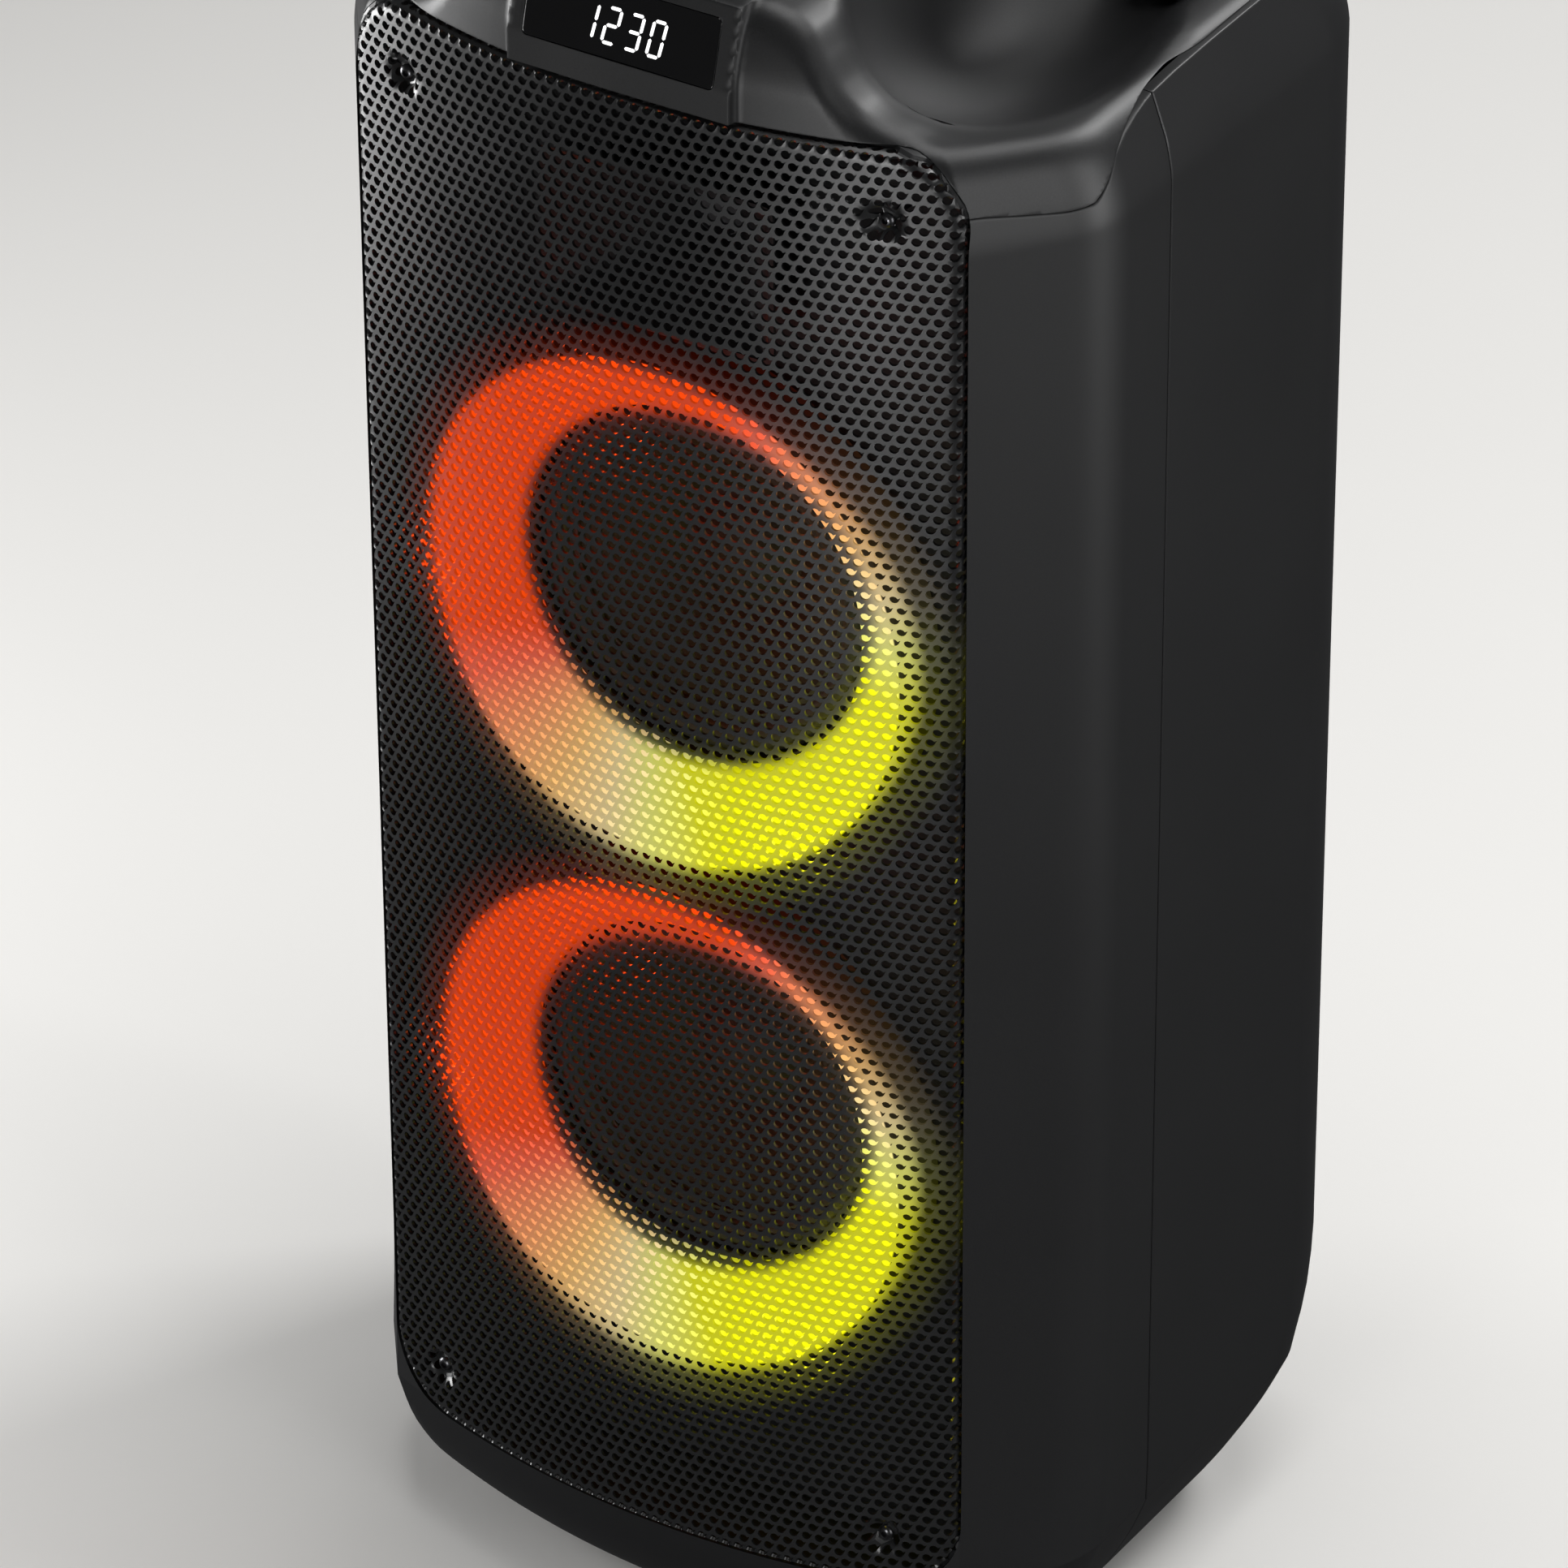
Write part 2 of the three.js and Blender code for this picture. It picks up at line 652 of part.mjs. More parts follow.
// ---- woofers: Y is measured back from the rear of the baffle ----
function wooferFrame() {
  const seat = THROAT_R - 0.8;
  const flange = THROAT_R + 10;
  const back = BASKET_BACK_R;
  const depth = BASKET_DEPTH;
  const points = [
    [seat, 0], [flange, 0], [flange, 3.5], [THROAT_R + 4, 3.5],
    [back, depth - 5.5], [back, depth], [20, depth],
    [20, depth - 2], [back - 2.5, depth - 2], [back - 2.5, depth - 5.5], [THROAT_R + 1, 4.5], [seat, 3.5],
  ];
  let basket = turnedY(points, DRIVER_SEGMENTS);
  for (let i = 0; i < 4; i++) {
    const g = new THREE.BoxGeometry(56, depth / 2, 40);
    g.translate(0, depth / 2 + 0.75, THROAT_R - 8);
    g.rotateY(THREE.MathUtils.degToRad(45 + 90 * i));
    basket = basket.subtract(solid(g));
  }
  return basket;
}

function magnet() {
  const y = BASKET_DEPTH + GAP;
  const r = MAGNET_R;
  const points = [
    [0, y - 1], [14.8, y - 1], [14.8, y + 21], [24, y + 21], [24, y + 5], [18.6, y + 5], [18.6, y],
    [r - 5, y], [r - 5, y + 5], [r, y + 5], [r, y + 21.5], [r - 5, y + 21.5], [r - 5, y + 27], [0, y + 27],
  ];
  return turnedY(points, SMALL_SEGMENTS);
}

function coneY(r) {
  return (NECK_DEPTH * (CONE_R - r)) / (CONE_R - NECK_R);
}

function cone() {
  const points = [
    [NECK_R, COIL_DEPTH], [NECK_R + 1, COIL_DEPTH], [NECK_R + 1, NECK_DEPTH + 1], [CONE_R, 1.5], [CONE_R, 0],
    [NECK_R, NECK_DEPTH],
  ];
  return turnedY(points, DRIVER_SEGMENTS);
}

function dustCap() {
  const r = DOME_R;
  const y = coneY(r);
  const points = [
    [0, y - 8], [r - 13, y - 6.5], [r - 5, y - 3.3], [r, y - 0.5],
    [r - 1, y + 0.2], [r - 13, y - 5.3], [0, y - 6.8],
  ];
  return turnedY(points, SMALL_SEGMENTS);
}

function surround() {
  const outer = SURROUND_R;
  const inner = SURROUND_R - SURROUND_W;
  const points = [
    [inner, -0.9], [inner + 3.8, -0.9], [inner + 6.5, -5.4],
    [outer - 4, -5.4], [outer - 1.4, -0.9], [outer, -0.9],
    [outer, 0], [outer - 2.2, 0], [outer - 4.6, -4.3], [inner + 7.1, -4.3], [inner + 4.5, 0], [inner, 0],
  ];
  return turnedY(points, DRIVER_SEGMENTS);
}

function spider() {
  const y = SPIDER_DEPTH;
  const inner = NECK_R + 1.8;
  const outer = BASKET_BACK_R - 6.2;
  const points = [
    [inner, y], [24, y + 2], [30, y], [outer - 6.8, y + 4.2], [outer, y + 4.2], [outer, y + 5],
    [outer - 7.4, y + 5], [30, y + 0.9], [24, y + 2.9], [inner, y + 0.9],
  ];
  return turnedY(points, SMALL_SEGMENTS);
}

// ---- horn: measured from the middle of its mouth ----
function taperedBox(y0, w0, h0, y1, w1, h1) {
  const vertices = [];
  for (const [y, w, h] of [[y0, w0 / 2, h0 / 2], [y1, w1 / 2, h1 / 2]]) {
    vertices.push(-w, y, -h, w, y, -h, w, y, h, -w, y, h);
  }
  const faces = [
    0, 1, 2, 0, 2, 3, 5, 4, 7, 5, 7, 6, 4, 5, 1, 4, 1, 0,
    3, 2, 6, 3, 6, 7, 1, 5, 6, 1, 6, 2, 4, 0, 3, 4, 3, 7,
  ];
  const g = new THREE.BufferGeometry();
  g.setAttribute("position", new THREE.Float32BufferAttribute(vertices, 3));
  g.setIndex(faces);
  return solid(g);
}

function hornFlare() {
  const [w, h] = HORN_MOUTH;
  const skin = 2 * HORN_WALL;
  const throat = HORN_THROAT;
  let flare = taperedBox(0, w + skin, h + skin, HORN_DEPTH, throat + skin, throat + skin);
  flare = flare.add(centredBox(HORN_SEAT[0], RING_RISE - 2.8, RING_RISE - GAP, HORN_SEAT[1]));
  flare = flare.add(centredBox(throat + 16, HORN_DEPTH - 3, HORN_DEPTH, throat + 16));
  return flare.subtract(taperedBox(-0.5, w, h, HORN_DEPTH + 0.5, throat, throat));
}

function tweeterDriver() {
  const throatR = HORN_THROAT / 2;
  const points = [
    [0, 4], [throatR - 1, 3], [throatR, 0], [throatR + 8, 0], [throatR + 8, 10], [28, 10], [28, 26], [0, 26],
  ];
  return turnedY(points, SMALL_SEGMENTS);
}

// ---- console parts: measured from the middle of the console's top ----
const BUTTONS = [
  ["button_previous", -28, -BUTTON_ROW],
  ["button_play_pause", 0, -BUTTON_ROW],
  ["button_next", 28, -BUTTON_ROW],
  ["button_bass_boost", -33, 0],
  ["button_light_mode", 33, 0],
  ["button_power", -20, BUTTON_ROW],
  ["button_source", 20, BUTTON_ROW],
];

function buttonShape(x, y, grow) {
  const w = BUTTON_SIZE[0] / 2 + grow;
  const h = BUTTON_SIZE[1] / 2 + grow;
  return roundedRect(x - w, x + w, y - h, y + h, BUTTON_R, 3);
}

function controlPanel() {
  const top = GAP + PANEL_T;
  const outline = roundedRect(-PANEL_HALF_W, PANEL_HALF_W, -PANEL_HALF_L, PANEL_HALF_L, PANEL_R);
  let plate = prismXY(outline, GAP, top);
  for (const [, x, y] of BUTTONS) {
    plate = plate.subtract(prismXY(buttonShape(x, y, GAP + 0.1), GAP - 1, top + 1));
  }
  return plate.subtract(rodZ(0, 0, KNOB_SHAFT_R + 0.6, GAP - 1, top + 1));
}

function button() {
  const cap = prismXY(buttonShape(0, 0, 0), -1, GAP + PANEL_T + BUTTON_PROUD);
  return cap.add(rodZ(0, 0, BUTTON_STEM_R, -BUTTON_STEM_L, 0, 12));
}

function volumeKnob() {
  const z = GAP + PANEL_T + 0.5;
  const r = KNOB_R;
  const points = [
    [0, -8], [KNOB_SHAFT_R, -8], [KNOB_SHAFT_R, z], [r, z], [r, z + 10], [r - 2, z + 12.5], [r - 4, z + 13],
    [r - 6, z + 11.8], [0, z + 11],
  ];
  const notch = box(-0.8, 0.8, -r + 1, -r + 6, z + 11.5, z + 15);
  return turnedZ(points, DRIVER_SEGMENTS).subtract(notch);
}

function controlBoard() {
  const halfL = PANEL_HALF_L - 8;
  return box(-38, 38, -halfL, halfL, -CONTROL_BOARD_DROP, 1.6 - CONTROL_BOARD_DROP);
}

// ---- carry handle: measured from the middle of its foot line ----
function carryHandle() {
  const w = HANDLE_HALF_W;
  const d = HANDLE_HALF_D;
  const h = HANDLE_H;
  const inner = w - HANDLE_LEG;
  const under = h - HANDLE_BAR_T;
  const half = [
    [w, 0], [w, h - 26], [w - 5, h - 10], [w - 18, h], [-w + 18, h], [-w + 5, h - 10], [-w, h - 26],
    [-w, 0], [-inner, 0], [-inner, under - 12], [-inner + 12, under], [inner - 12, under],
    [inner, under - 12], [inner, 0],
  ];
  const section = [
    [-d, -1], [d, -1], [d, h - 9], [d - 3, h - 3], [d - 9, h], [-d + 9, h], [-d + 3, h - 3], [-d, h - 9],
  ];
  return prismXZ(half, -d - 1, d + 1).intersect(prismYZ(section, -w - 1, w + 1));
}

function handleGrip() {
  const halfD = HANDLE_HALF_D - 4;
  const under = HANDLE_H - HANDLE_BAR_T - GAP;
  return box(-80, 80, -halfD, halfD, under - 3, under);
}

// ---- port: Y is measured back from the rear face ----
function portTube() {
  const r = PORT_R;
  const face = -0.5;
  const seat = -WALL - GAP;
  const rim = r + PORT_RIM;
  const points = [
    [r, face - PORT_L], [r + 3, face - PORT_L], [r + 3, face - 16], [rim + 5, face - 7.5], [rim + 5, seat],
    [rim, seat], [rim, face], [rim - 2, face], [r + 3, face - 5], [r, face - 14],
  ];
  return turnedY(points, DRIVER_SEGMENTS);
}

// ---- input tray: measured from the middle of its floor ----
const SOCKETS = [
  ["mic_jack", -56, 24, 8, 3.3, 22],
  ["guitar_jack", -28, 24, 8, 3.3, 22],
  ["aux_jack", -2, 24, 5, 1.9, 14],
];
const KNOBS = [
  ["mic_volume_knob", -56, -12],
  ["guitar_volume_knob", -28, -12],
];
const USB_AT = [24, 24];
const ROCKER_AT = [54, 22];
const INLET_AT = [50, -22];

function cutThrough([x, z], w, h) {
  return box(x - w / 2, x + w / 2, -5, 5, z - h / 2, z + h / 2);
}

function inputPanel() {
  const w = TRAY_W + 12;
  const h = TRAY_H + 12;
  let tray = centredBox(w, -TRAY_WALL, TRAY_DEPTH - WALL - GAP, h);
  tray = tray.subtract(prismXZ(centredRect(TRAY_W, TRAY_H, TRAY_R), 0, TRAY_DEPTH));
  for (const [, x, z, r] of SOCKETS) tray = tray.subtract(rodY(x, z, r - 1 + GAP, -5, 5));
  for (const [, x, z] of KNOBS) tray = tray.subtract(rodY(x, z, SMALL_SHAFT_R + 0.4, -5, 5));
  tray = tray.subtract(cutThrough(USB_AT, 14, 7));
  tray = tray.subtract(cutThrough(ROCKER_AT, ROCKER[0] + 3.2, ROCKER[1] + 4.8));
  return tray.subtract(cutThrough(INLET_AT, INLET_WELL[0] + 4.6, INLET_WELL[1] + 6));
}

function jack(r, bore, depth) {
  const points = [
    [0, -depth], [r - 1, -depth], [r - 1, GAP], [r + 1, GAP], [r + 1, 2.5], [bore + 0.8, 2.5], [bore, 1.7],
    [bore, 4 - depth], [0, 4 - depth],
  ];
  return turnedY(points, FINE_SEGMENTS);
}

function smallKnob() {
  const r = SMALL_KNOB_R;
  const points = [
    [0, -8], [SMALL_SHAFT_R, -8], [SMALL_SHAFT_R, 1], [r, 1], [r - 0.5, 13], [r - 1.5, 14], [0, 14],
  ];
  return turnedY(points, FINE_SEGMENTS).subtract(box(-0.6, 0.6, 12.8, 15, 1, r + 0.5));
}

function usbSocket() {
  return centredBox(13.2, -14, 0.5, 6.4).subtract(centredBox(11.8, -12, 1, 5));
}

function powerRocker() {
  const h = ROCKER[1] / 2;
  const points = [[2.6, -h], [0.8, 0], [2.6, h], [-7, h - 1.2], [-7, 1.2 - h]];
  return prismYZ(points, -ROCKER[0] / 2, ROCKER[0] / 2);
}

function switchBody() {
  const [w, h] = ROCKER;
  const frame = centredBox(w + 6.2, GAP, 1.2, h + 7.8);
  const can = centredBox(w + 2.6, -14, 1, h + 4.2);
  return frame.add(can).subtract(centredBox(w + 0.8, -12, 2, h + 2.8));
}

function powerInlet() {
  const [w, h] = INLET_WELL;
  const body = centredBox(w + 4, -18, 1, h + 5.4);
  const flange = centredBox(w + 11.6, GAP, 2, h + 12);
  const well = prismXZ(centredRect(w, h, h / 2 - 0.1), -15, 3);
  let inlet = body.add(flange).subtract(well);
  for (const x of [-4.3, 4.3]) inlet = inlet.add(rodY(x, 0, 1.2, -16, -3, 12));
  return inlet;
}

// ---- inside ----
function amplifierBoard() {
  const [w, t, h] = AMPLIFIER;
  let board = centredBox(w, 0, t, h);
  board = board.add(box(-60, -30, -6, 0.5, -40, -10));
  for (const x of [-10, 8, 60]) board = board.add(rodY(x, -30, 7, -20, 0.5, 16));
  return board;
}

function heatSink() {
  const [w, h] = SINK_SIZE;
  const base = -GAP;
  let sink = centredBox(w, base - 5.7, base, h);
  for (let i = 0; i < 9; i++) {
    const x = 3 - w / 2 + (i * (w - 9)) / 8;
    sink = sink.add(box(x - 1, x + 1, base - 25.7, base - 4.7, -h / 2, h / 2));
  }
  return sink;
}

function batteryPack() {
  const [w, d, h] = BATTERY;
  return box(-w / 2, w / 2, -d / 2, d / 2, 0, h);
}

function powerSupply() {
  const [w, d, t] = SUPPLY;
  let board = box(-w / 2, w / 2, -d / 2, d / 2, 0, t);
  board = board.add(box(-50, -10, -20, 15, t - 0.6, 30));
  for (const x of [10, 35]) board = board.add(rodZ(x, 0, 9, t - 0.6, 33, 16));
  return board;
}

// ---- feet ----
function foot() {
  const r = FOOT_R;
  const top = FLOOR_Z - GAP;
  const points = [
    [0, 0], [r - 1.5, 0], [r, 1.5], [r, top],
    [FOOT_STEM_R, top], [FOOT_STEM_R, FOOT_STEM_H], [0, FOOT_STEM_H],
  ];
  return turnedZ(points, FINE_SEGMENTS);
}

// ---- assembly ----
function addCabinet() {
  const cabinetParts = assembly(group);
  put(cabinetParts, "front_shell", frontShell(), CASE);
  put(cabinetParts, "rear_shell", rearShell(), CASE);
  put(cabinetParts, "top_cap", topCap(), CASE);
  let number = 1;
  for (const y of FOOT_Y) {
    for (const x of [-FOOT_X, FOOT_X]) {
      put(cabinetParts, `foot_${number}`, foot(), RUBBER, x, y, 0);
      number += 1;
    }
  }
}

function addGrille() {
  const front = assembly(group);
  put(front, "grille", grille(), STEEL_BLACK);
  const screws = assembly(front, 0, FRONT_Y + bowY(GRILLE_SCREW_X) + CUP_DEPTH - GAP, 0);
  let number = 1;
  for (const x of [-GRILLE_SCREW_X, GRILLE_SCREW_X]) {
    for (const z of GRILLE_SCREW_Z) {
      put(screws, `grille_screw_${number}`, grilleScrew(), SCREW, x, 0, z);
      number += 1;
    }
  }
}

function addDriver(place, index) {
  const driver = assembly(group, 0, BAFFLE_Y, wooferZ(index));
  put(driver, `${place}_light_ring`, lightRing(), GLOW);
  put(driver, `${place}_led_board`, ledBoard(), BOARD);
  const woofer = assembly(driver, 0, BAFFLE_T + GAP, 0);
  put(woofer, `${place}_woofer_frame`, wooferFrame(), STEEL_BLACK);
  put(woofer, `${place}_woofer_magnet`, magnet(), STEEL);
  put(woofer, `${place}_woofer_cone`, cone(), PAPER);
  put(woofer, `${place}_dust_cap`, dustCap(), PAPER);
  put(woofer, `${place}_surround`, surround(), RUBBER, 0, -GAP, 0);
  put(woofer, `${place}_spider`, spider(), CLOTH);
}

function addHorn() {
  const horn = assembly(group, 0, RING_Y, HORN_Z);
  put(horn, "horn_flare", hornFlare(), CASE);
  put(horn, "tweeter_driver", tweeterDriver(), STEEL, 0, HORN_DEPTH + GAP, 0);
}

function addDisplay() {
  const display = assembly(group, 0, FACE_Y, WINDOW_Z);
  display.rotation.x = -WINDOW_TILT;
  put(display, "display_window", solid(windowSlab(0, WINDOW_T, 0)), GLOSS);
  put(display, "display_board", solid(windowSlab(-10, 1.6, 8)), BOARD);
}

function addConsole() {
  const console = assembly(group, 0, PANEL_Y, CONSOLE_Z);
  put(console, "control_panel", controlPanel(), GLOSS);
  put(console, "volume_knob", volumeKnob(), KEY);
  for (const [name, x, y] of BUTTONS) put(console, name, button(), KEY, x, y, 0);
  put(console, "control_board", controlBoard(), BOARD);
}

function addHandle() {
  const handle = assembly(group, 0, HANDLE_Y, DECK_Z + GAP);
  put(handle, "carry_handle", carryHandle(), CASE);
  put(handle, "handle_grip", handleGrip(), RUBBER);
}

function addRear() {
  put(group, "port_tube", portTube(), CASE, 0, REAR_Y, PORT_Z);
  const tray = assembly(group, 0, TRAY_FLOOR_Y, TRAY_Z);
  put(tray, "input_panel", inputPanel(), CASE);
  for (const [name, x, z, ...sizes] of SOCKETS) put(tray, name, jack(...sizes), KEY, x, 0, z);
  for (const [name, x, z] of KNOBS) put(tray, name, smallKnob(), KEY, x, 0, z);
  put(tray, "usb_socket", usbSocket(), ALUMINIUM, USB_AT[0], 0, USB_AT[1]);
  put(tray, "switch_body", switchBody(), KEY, ROCKER_AT[0], 0, ROCKER_AT[1]);
  put(tray, "power_rocker", powerRocker(), KEY, ROCKER_AT[0], 0, ROCKER_AT[1]);
  put(tray, "power_inlet", powerInlet(), KEY, INLET_AT[0], 0, INLET_AT[1]);
}

function addInside() {
  const amplifier = assembly(group, 0, AMPLIFIER_Y, TRAY_Z);
  put(amplifier, "amplifier_board", amplifierBoard(), BOARD);
  put(amplifier, "heat_sink", heatSink(), ALUMINIUM, 0, 0, SINK_Z);
  put(group, "battery_pack", batteryPack(), PACK, 0, BATTERY_Y, BATTERY_Z);
  put(group, "power_supply", powerSupply(), BOARD, 0, SUPPLY_Y, SUPPLY_Z);
}

addCabinet();
addGrille();
["upper", "lower"].forEach(addDriver);
addHorn();
addDisplay();
addConsole();
addHandle();
addRear();
addInside();

export default group;
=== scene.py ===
import math

import bmesh
import bpy
import numpy as np
from mathutils import Matrix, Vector
from mathutils.geometry import delaunay_2d_cdt

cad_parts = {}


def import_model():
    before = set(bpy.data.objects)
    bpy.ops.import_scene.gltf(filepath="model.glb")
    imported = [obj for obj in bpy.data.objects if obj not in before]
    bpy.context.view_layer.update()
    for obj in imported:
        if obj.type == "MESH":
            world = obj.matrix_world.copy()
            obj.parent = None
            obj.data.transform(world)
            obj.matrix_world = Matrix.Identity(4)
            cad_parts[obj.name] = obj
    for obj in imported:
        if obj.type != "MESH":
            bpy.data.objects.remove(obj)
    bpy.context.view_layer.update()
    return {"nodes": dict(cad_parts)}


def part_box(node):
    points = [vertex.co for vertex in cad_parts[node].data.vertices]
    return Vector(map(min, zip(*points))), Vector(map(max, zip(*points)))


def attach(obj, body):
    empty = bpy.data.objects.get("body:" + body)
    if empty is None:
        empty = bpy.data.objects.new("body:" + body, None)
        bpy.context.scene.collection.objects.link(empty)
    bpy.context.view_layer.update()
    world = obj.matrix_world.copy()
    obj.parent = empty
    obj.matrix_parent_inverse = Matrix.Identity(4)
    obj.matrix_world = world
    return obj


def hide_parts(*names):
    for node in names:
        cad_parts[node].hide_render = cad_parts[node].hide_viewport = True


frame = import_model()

MM = 0.001


def cad(node):
    low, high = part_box(node)
    return np.array(low) / MM, np.array(high) / MM


def centre(node):
    low, high = cad(node)
    return (low + high) / 2


# ---- sizes read from the frame ----
SHELL_LO, SHELL_HI = cad("rear_shell")
GRILLE_LO, GRILLE_HI = cad("grille")
HALF_W = SHELL_HI[0]
REAR_Y = SHELL_HI[1]
FRONT_Y = GRILLE_LO[1]
FLOOR_Z = SHELL_LO[2]
HEIGHT = cad("carry_handle")[1][2]
SEAM_Y = (SHELL_LO[1] + cad("front_shell")[1][1]) / 2
GRILLE_HALF_W = GRILLE_HI[0]
GRILLE_Z0 = GRILLE_LO[2]
GRILLE_Z1 = GRILLE_HI[2]
RING_Z = [centre(f"{where}_light_ring")[2] for where in ("upper", "lower")]
HORN_Z = centre("horn_flare")[2]
PORT_Z = centre("port_tube")[2]
TRAY_Z = centre("input_panel")[2]

# ---- heights and depths tied to those ----
SHOULDER_Z = HEIGHT - 115
DECK_Z = SHOULDER_Z + 40
CONSOLE_Z = SHOULDER_Z + 84
CREASE_Z = 61
WINDOW_Z = SHOULDER_Z + 53
WINDOW_TILT = math.radians(15.2)
FACE_STEP = 1.4
FACE_Y = FRONT_Y + FACE_STEP
BOW_R = 350
STRIP_X = 131.5
STRIP_ANGLE = math.radians(54)
RIDGE_R = 50
REAR_CORNER_R = 55
BAFFLE_Y = FRONT_Y + 48
BAFFLE_T = 8
RING_Y = FRONT_Y + 23
RING_R = 105
THROAT_R = 74
WALL = 4
CONE_Y = BAFFLE_Y + BAFFLE_T + 0.3
SLOT = 1.5
GRILLE_CORNER_R = 30
SCREW_X = 102.6
SCREW_Z = (81.5, SHOULDER_Z + 12)
CUP_DEPTH = 4
TRAY_FLOOR_Y = 118


# ---- curves ----
def smooth_curve(points):
    """A monotone cubic through the points, as a function that works on arrays."""
    xs, ys = np.array(points, float).T
    steps = np.diff(xs)
    slopes = np.diff(ys) / steps
    tangents = np.concatenate([[slopes[0]], np.zeros(len(xs) - 2), [slopes[-1]]])
    for i in range(1, len(slopes)):
        before, after = slopes[i - 1], slopes[i]
        if before * after > 0:
            w1 = 2 * steps[i] + steps[i - 1]
            w2 = steps[i] + 2 * steps[i - 1]
            tangents[i] = (w1 + w2) / (w1 / before + w2 / after)

    def at(x):
        x = np.clip(x, xs[0], xs[-1])
        i = np.clip(np.searchsorted(xs, x, side="right") - 1, 0, len(steps) - 1)
        h = steps[i]
        t = (x - xs[i]) / h
        ends = ys[i] * (1 + 2 * t) * (1 - t) ** 2 + ys[i + 1] * t * t * (3 - 2 * t)
        return ends + h * tangents[i] * t * (1 - t) ** 2 + h * tangents[i + 1] * t * t * (t - 1)

    return at


def smoothstep(t):
    t = np.clip(t, 0, 1)
    return t * t * (3 - 2 * t)


def arc(cx, cy, r, start, end, steps):
    angles = np.radians(np.linspace(start, end, steps + 1))
    return [(cx + r * math.cos(a), cy + r * math.sin(a)) for a in angles]


def rounded_rect(x0, x1, y0, y1, r, steps=6):
    corners = ((x1 - r, y0 + r, -90), (x1 - r, y1 - r, 0), (x0 + r, y1 - r, 90), (x0 + r, y0 + r, 180))
    points = []
    for cx, cy, start in corners:
        points += arc(cx, cy, r, start, start + 90, steps)
    return points


# ---- cabinet form: how far the side, the front and the rear stand in at each height ----
LOWER = [
    (FLOOR_Z, 36, 46, 52), (10, 27, 27, 47), (18, 21, 17, 41), (30, 14, 8.5, 34), (45, 6.5, 2.5, 24),
    (CREASE_Z, 0.5, 0, 15),
]
UPPER = [
    (CREASE_Z, 0.5, 0, 15), (85, 0, 0, 4), (110, 0, 0, 0), (SHOULDER_Z, 0, 0, 0),
    (SHOULDER_Z + 13, 1.8, 0, 2),
    (SHOULDER_Z + 26, 6, 0, 7), (SHOULDER_Z + 37, 10, 0.1, 13), (SHOULDER_Z + 53, 15, 0.2, 20),
    (SHOULDER_Z + 79, 20, 7.1, 28), (SHOULDER_Z + 100, 24, 13, 36),
]
LOW_CURVES = [smooth_curve([(row[0], row[k]) for row in LOWER]) for k in (1, 2, 3)]
HIGH_CURVES = [smooth_curve([(row[0], row[k]) for row in UPPER]) for k in (1, 2, 3)]


def insets(z):
    return [np.where(z < CREASE_Z, low(z), high(z)) for low, high in zip(LOW_CURVES, HIGH_CURVES)]


def plan_scale(z):
    """Side scale, front shift and depth scale of the full plan at height z."""
    side, front, rear = insets(z)
    return (HALF_W - side) / HALF_W, front, (REAR_Y - rear - FACE_Y - front) / (REAR_Y - FACE_Y)


def place(x, y, z):
    across, shift, deep = plan_scale(z)
    return x * across, FACE_Y + shift + (y - FACE_Y) * deep


def bow(x):
    return x * x / (2 * BOW_R)


def half_plan():
    """Right half of the outline from above: bowed face, strip, ridge, and then the rear corner."""
    face = [(x, FACE_Y + bow(x)) for x in np.linspace(0, STRIP_X, 24)]
    turn = (math.pi / 2 - STRIP_ANGLE) / 2
    corner_y = face[-1][1] + (HALF_W - STRIP_X) * math.tan(STRIP_ANGLE)
    centre_y = corner_y + RIDGE_R * math.tan(turn)
    ridge = arc(HALF_W - RIDGE_R, centre_y, RIDGE_R, math.degrees(STRIP_ANGLE) - 90, 0, 18)
    (ax, ay), (bx, by) = face[-1], ridge[0]
    strip = [(ax + (bx - ax) * t, ay + (by - ay) * t) for t in np.linspace(0, 1, 6)[1:-1]]
    rear = arc(HALF_W - REAR_CORNER_R, REAR_Y - REAR_CORNER_R, REAR_CORNER_R, 0, 90, 20)
    return face + strip + ridge, rear


def normals(points):
    """Outward unit normals of an open run of plan points that turns from the front to the rear."""
    p = np.array(points)
    t = np.gradient(p, axis=0)
    n = np.stack([t[:, 1], -t[:, 0]], 1)
    return n / np.linalg.norm(n, axis=1)[:, None]


CAP_SEAM = smooth_curve([
    (-150, 662), (-112, 661), (-95, 658.4), (-80, 656.6), (-74, 656.6), (-66, 661.5), (-57, 669),
    (-42, 675.8), (-23, 679.6), (10, 681.2), (53, 682), (150, 683),
])
CAP_LIFT = SHOULDER_Z - 645


def cap_seam(y):
    return CAP_SEAM(y) + CAP_LIFT


# ---- mesh helpers ----
def link(name, data):
    obj = bpy.data.objects.new(name, data)
    bpy.context.scene.collection.objects.link(obj)
    return obj


def bands(rows, n, around=False):
    """Quads between neighbouring rows of n points. Around, the last row also meets the first."""
    pairs = [(j, (j + 1) % rows) for j in range(rows if around else rows - 1)]
    steps = [(i, (i + 1) % n) for i in range(n)]
    return [[j * n + a, j * n + b, k * n + b, k * n + a] for j, k in pairs for a, b in steps]


def ends(rows, n):
    return [list(range(n)), list(range((rows - 1) * n, rows * n))]


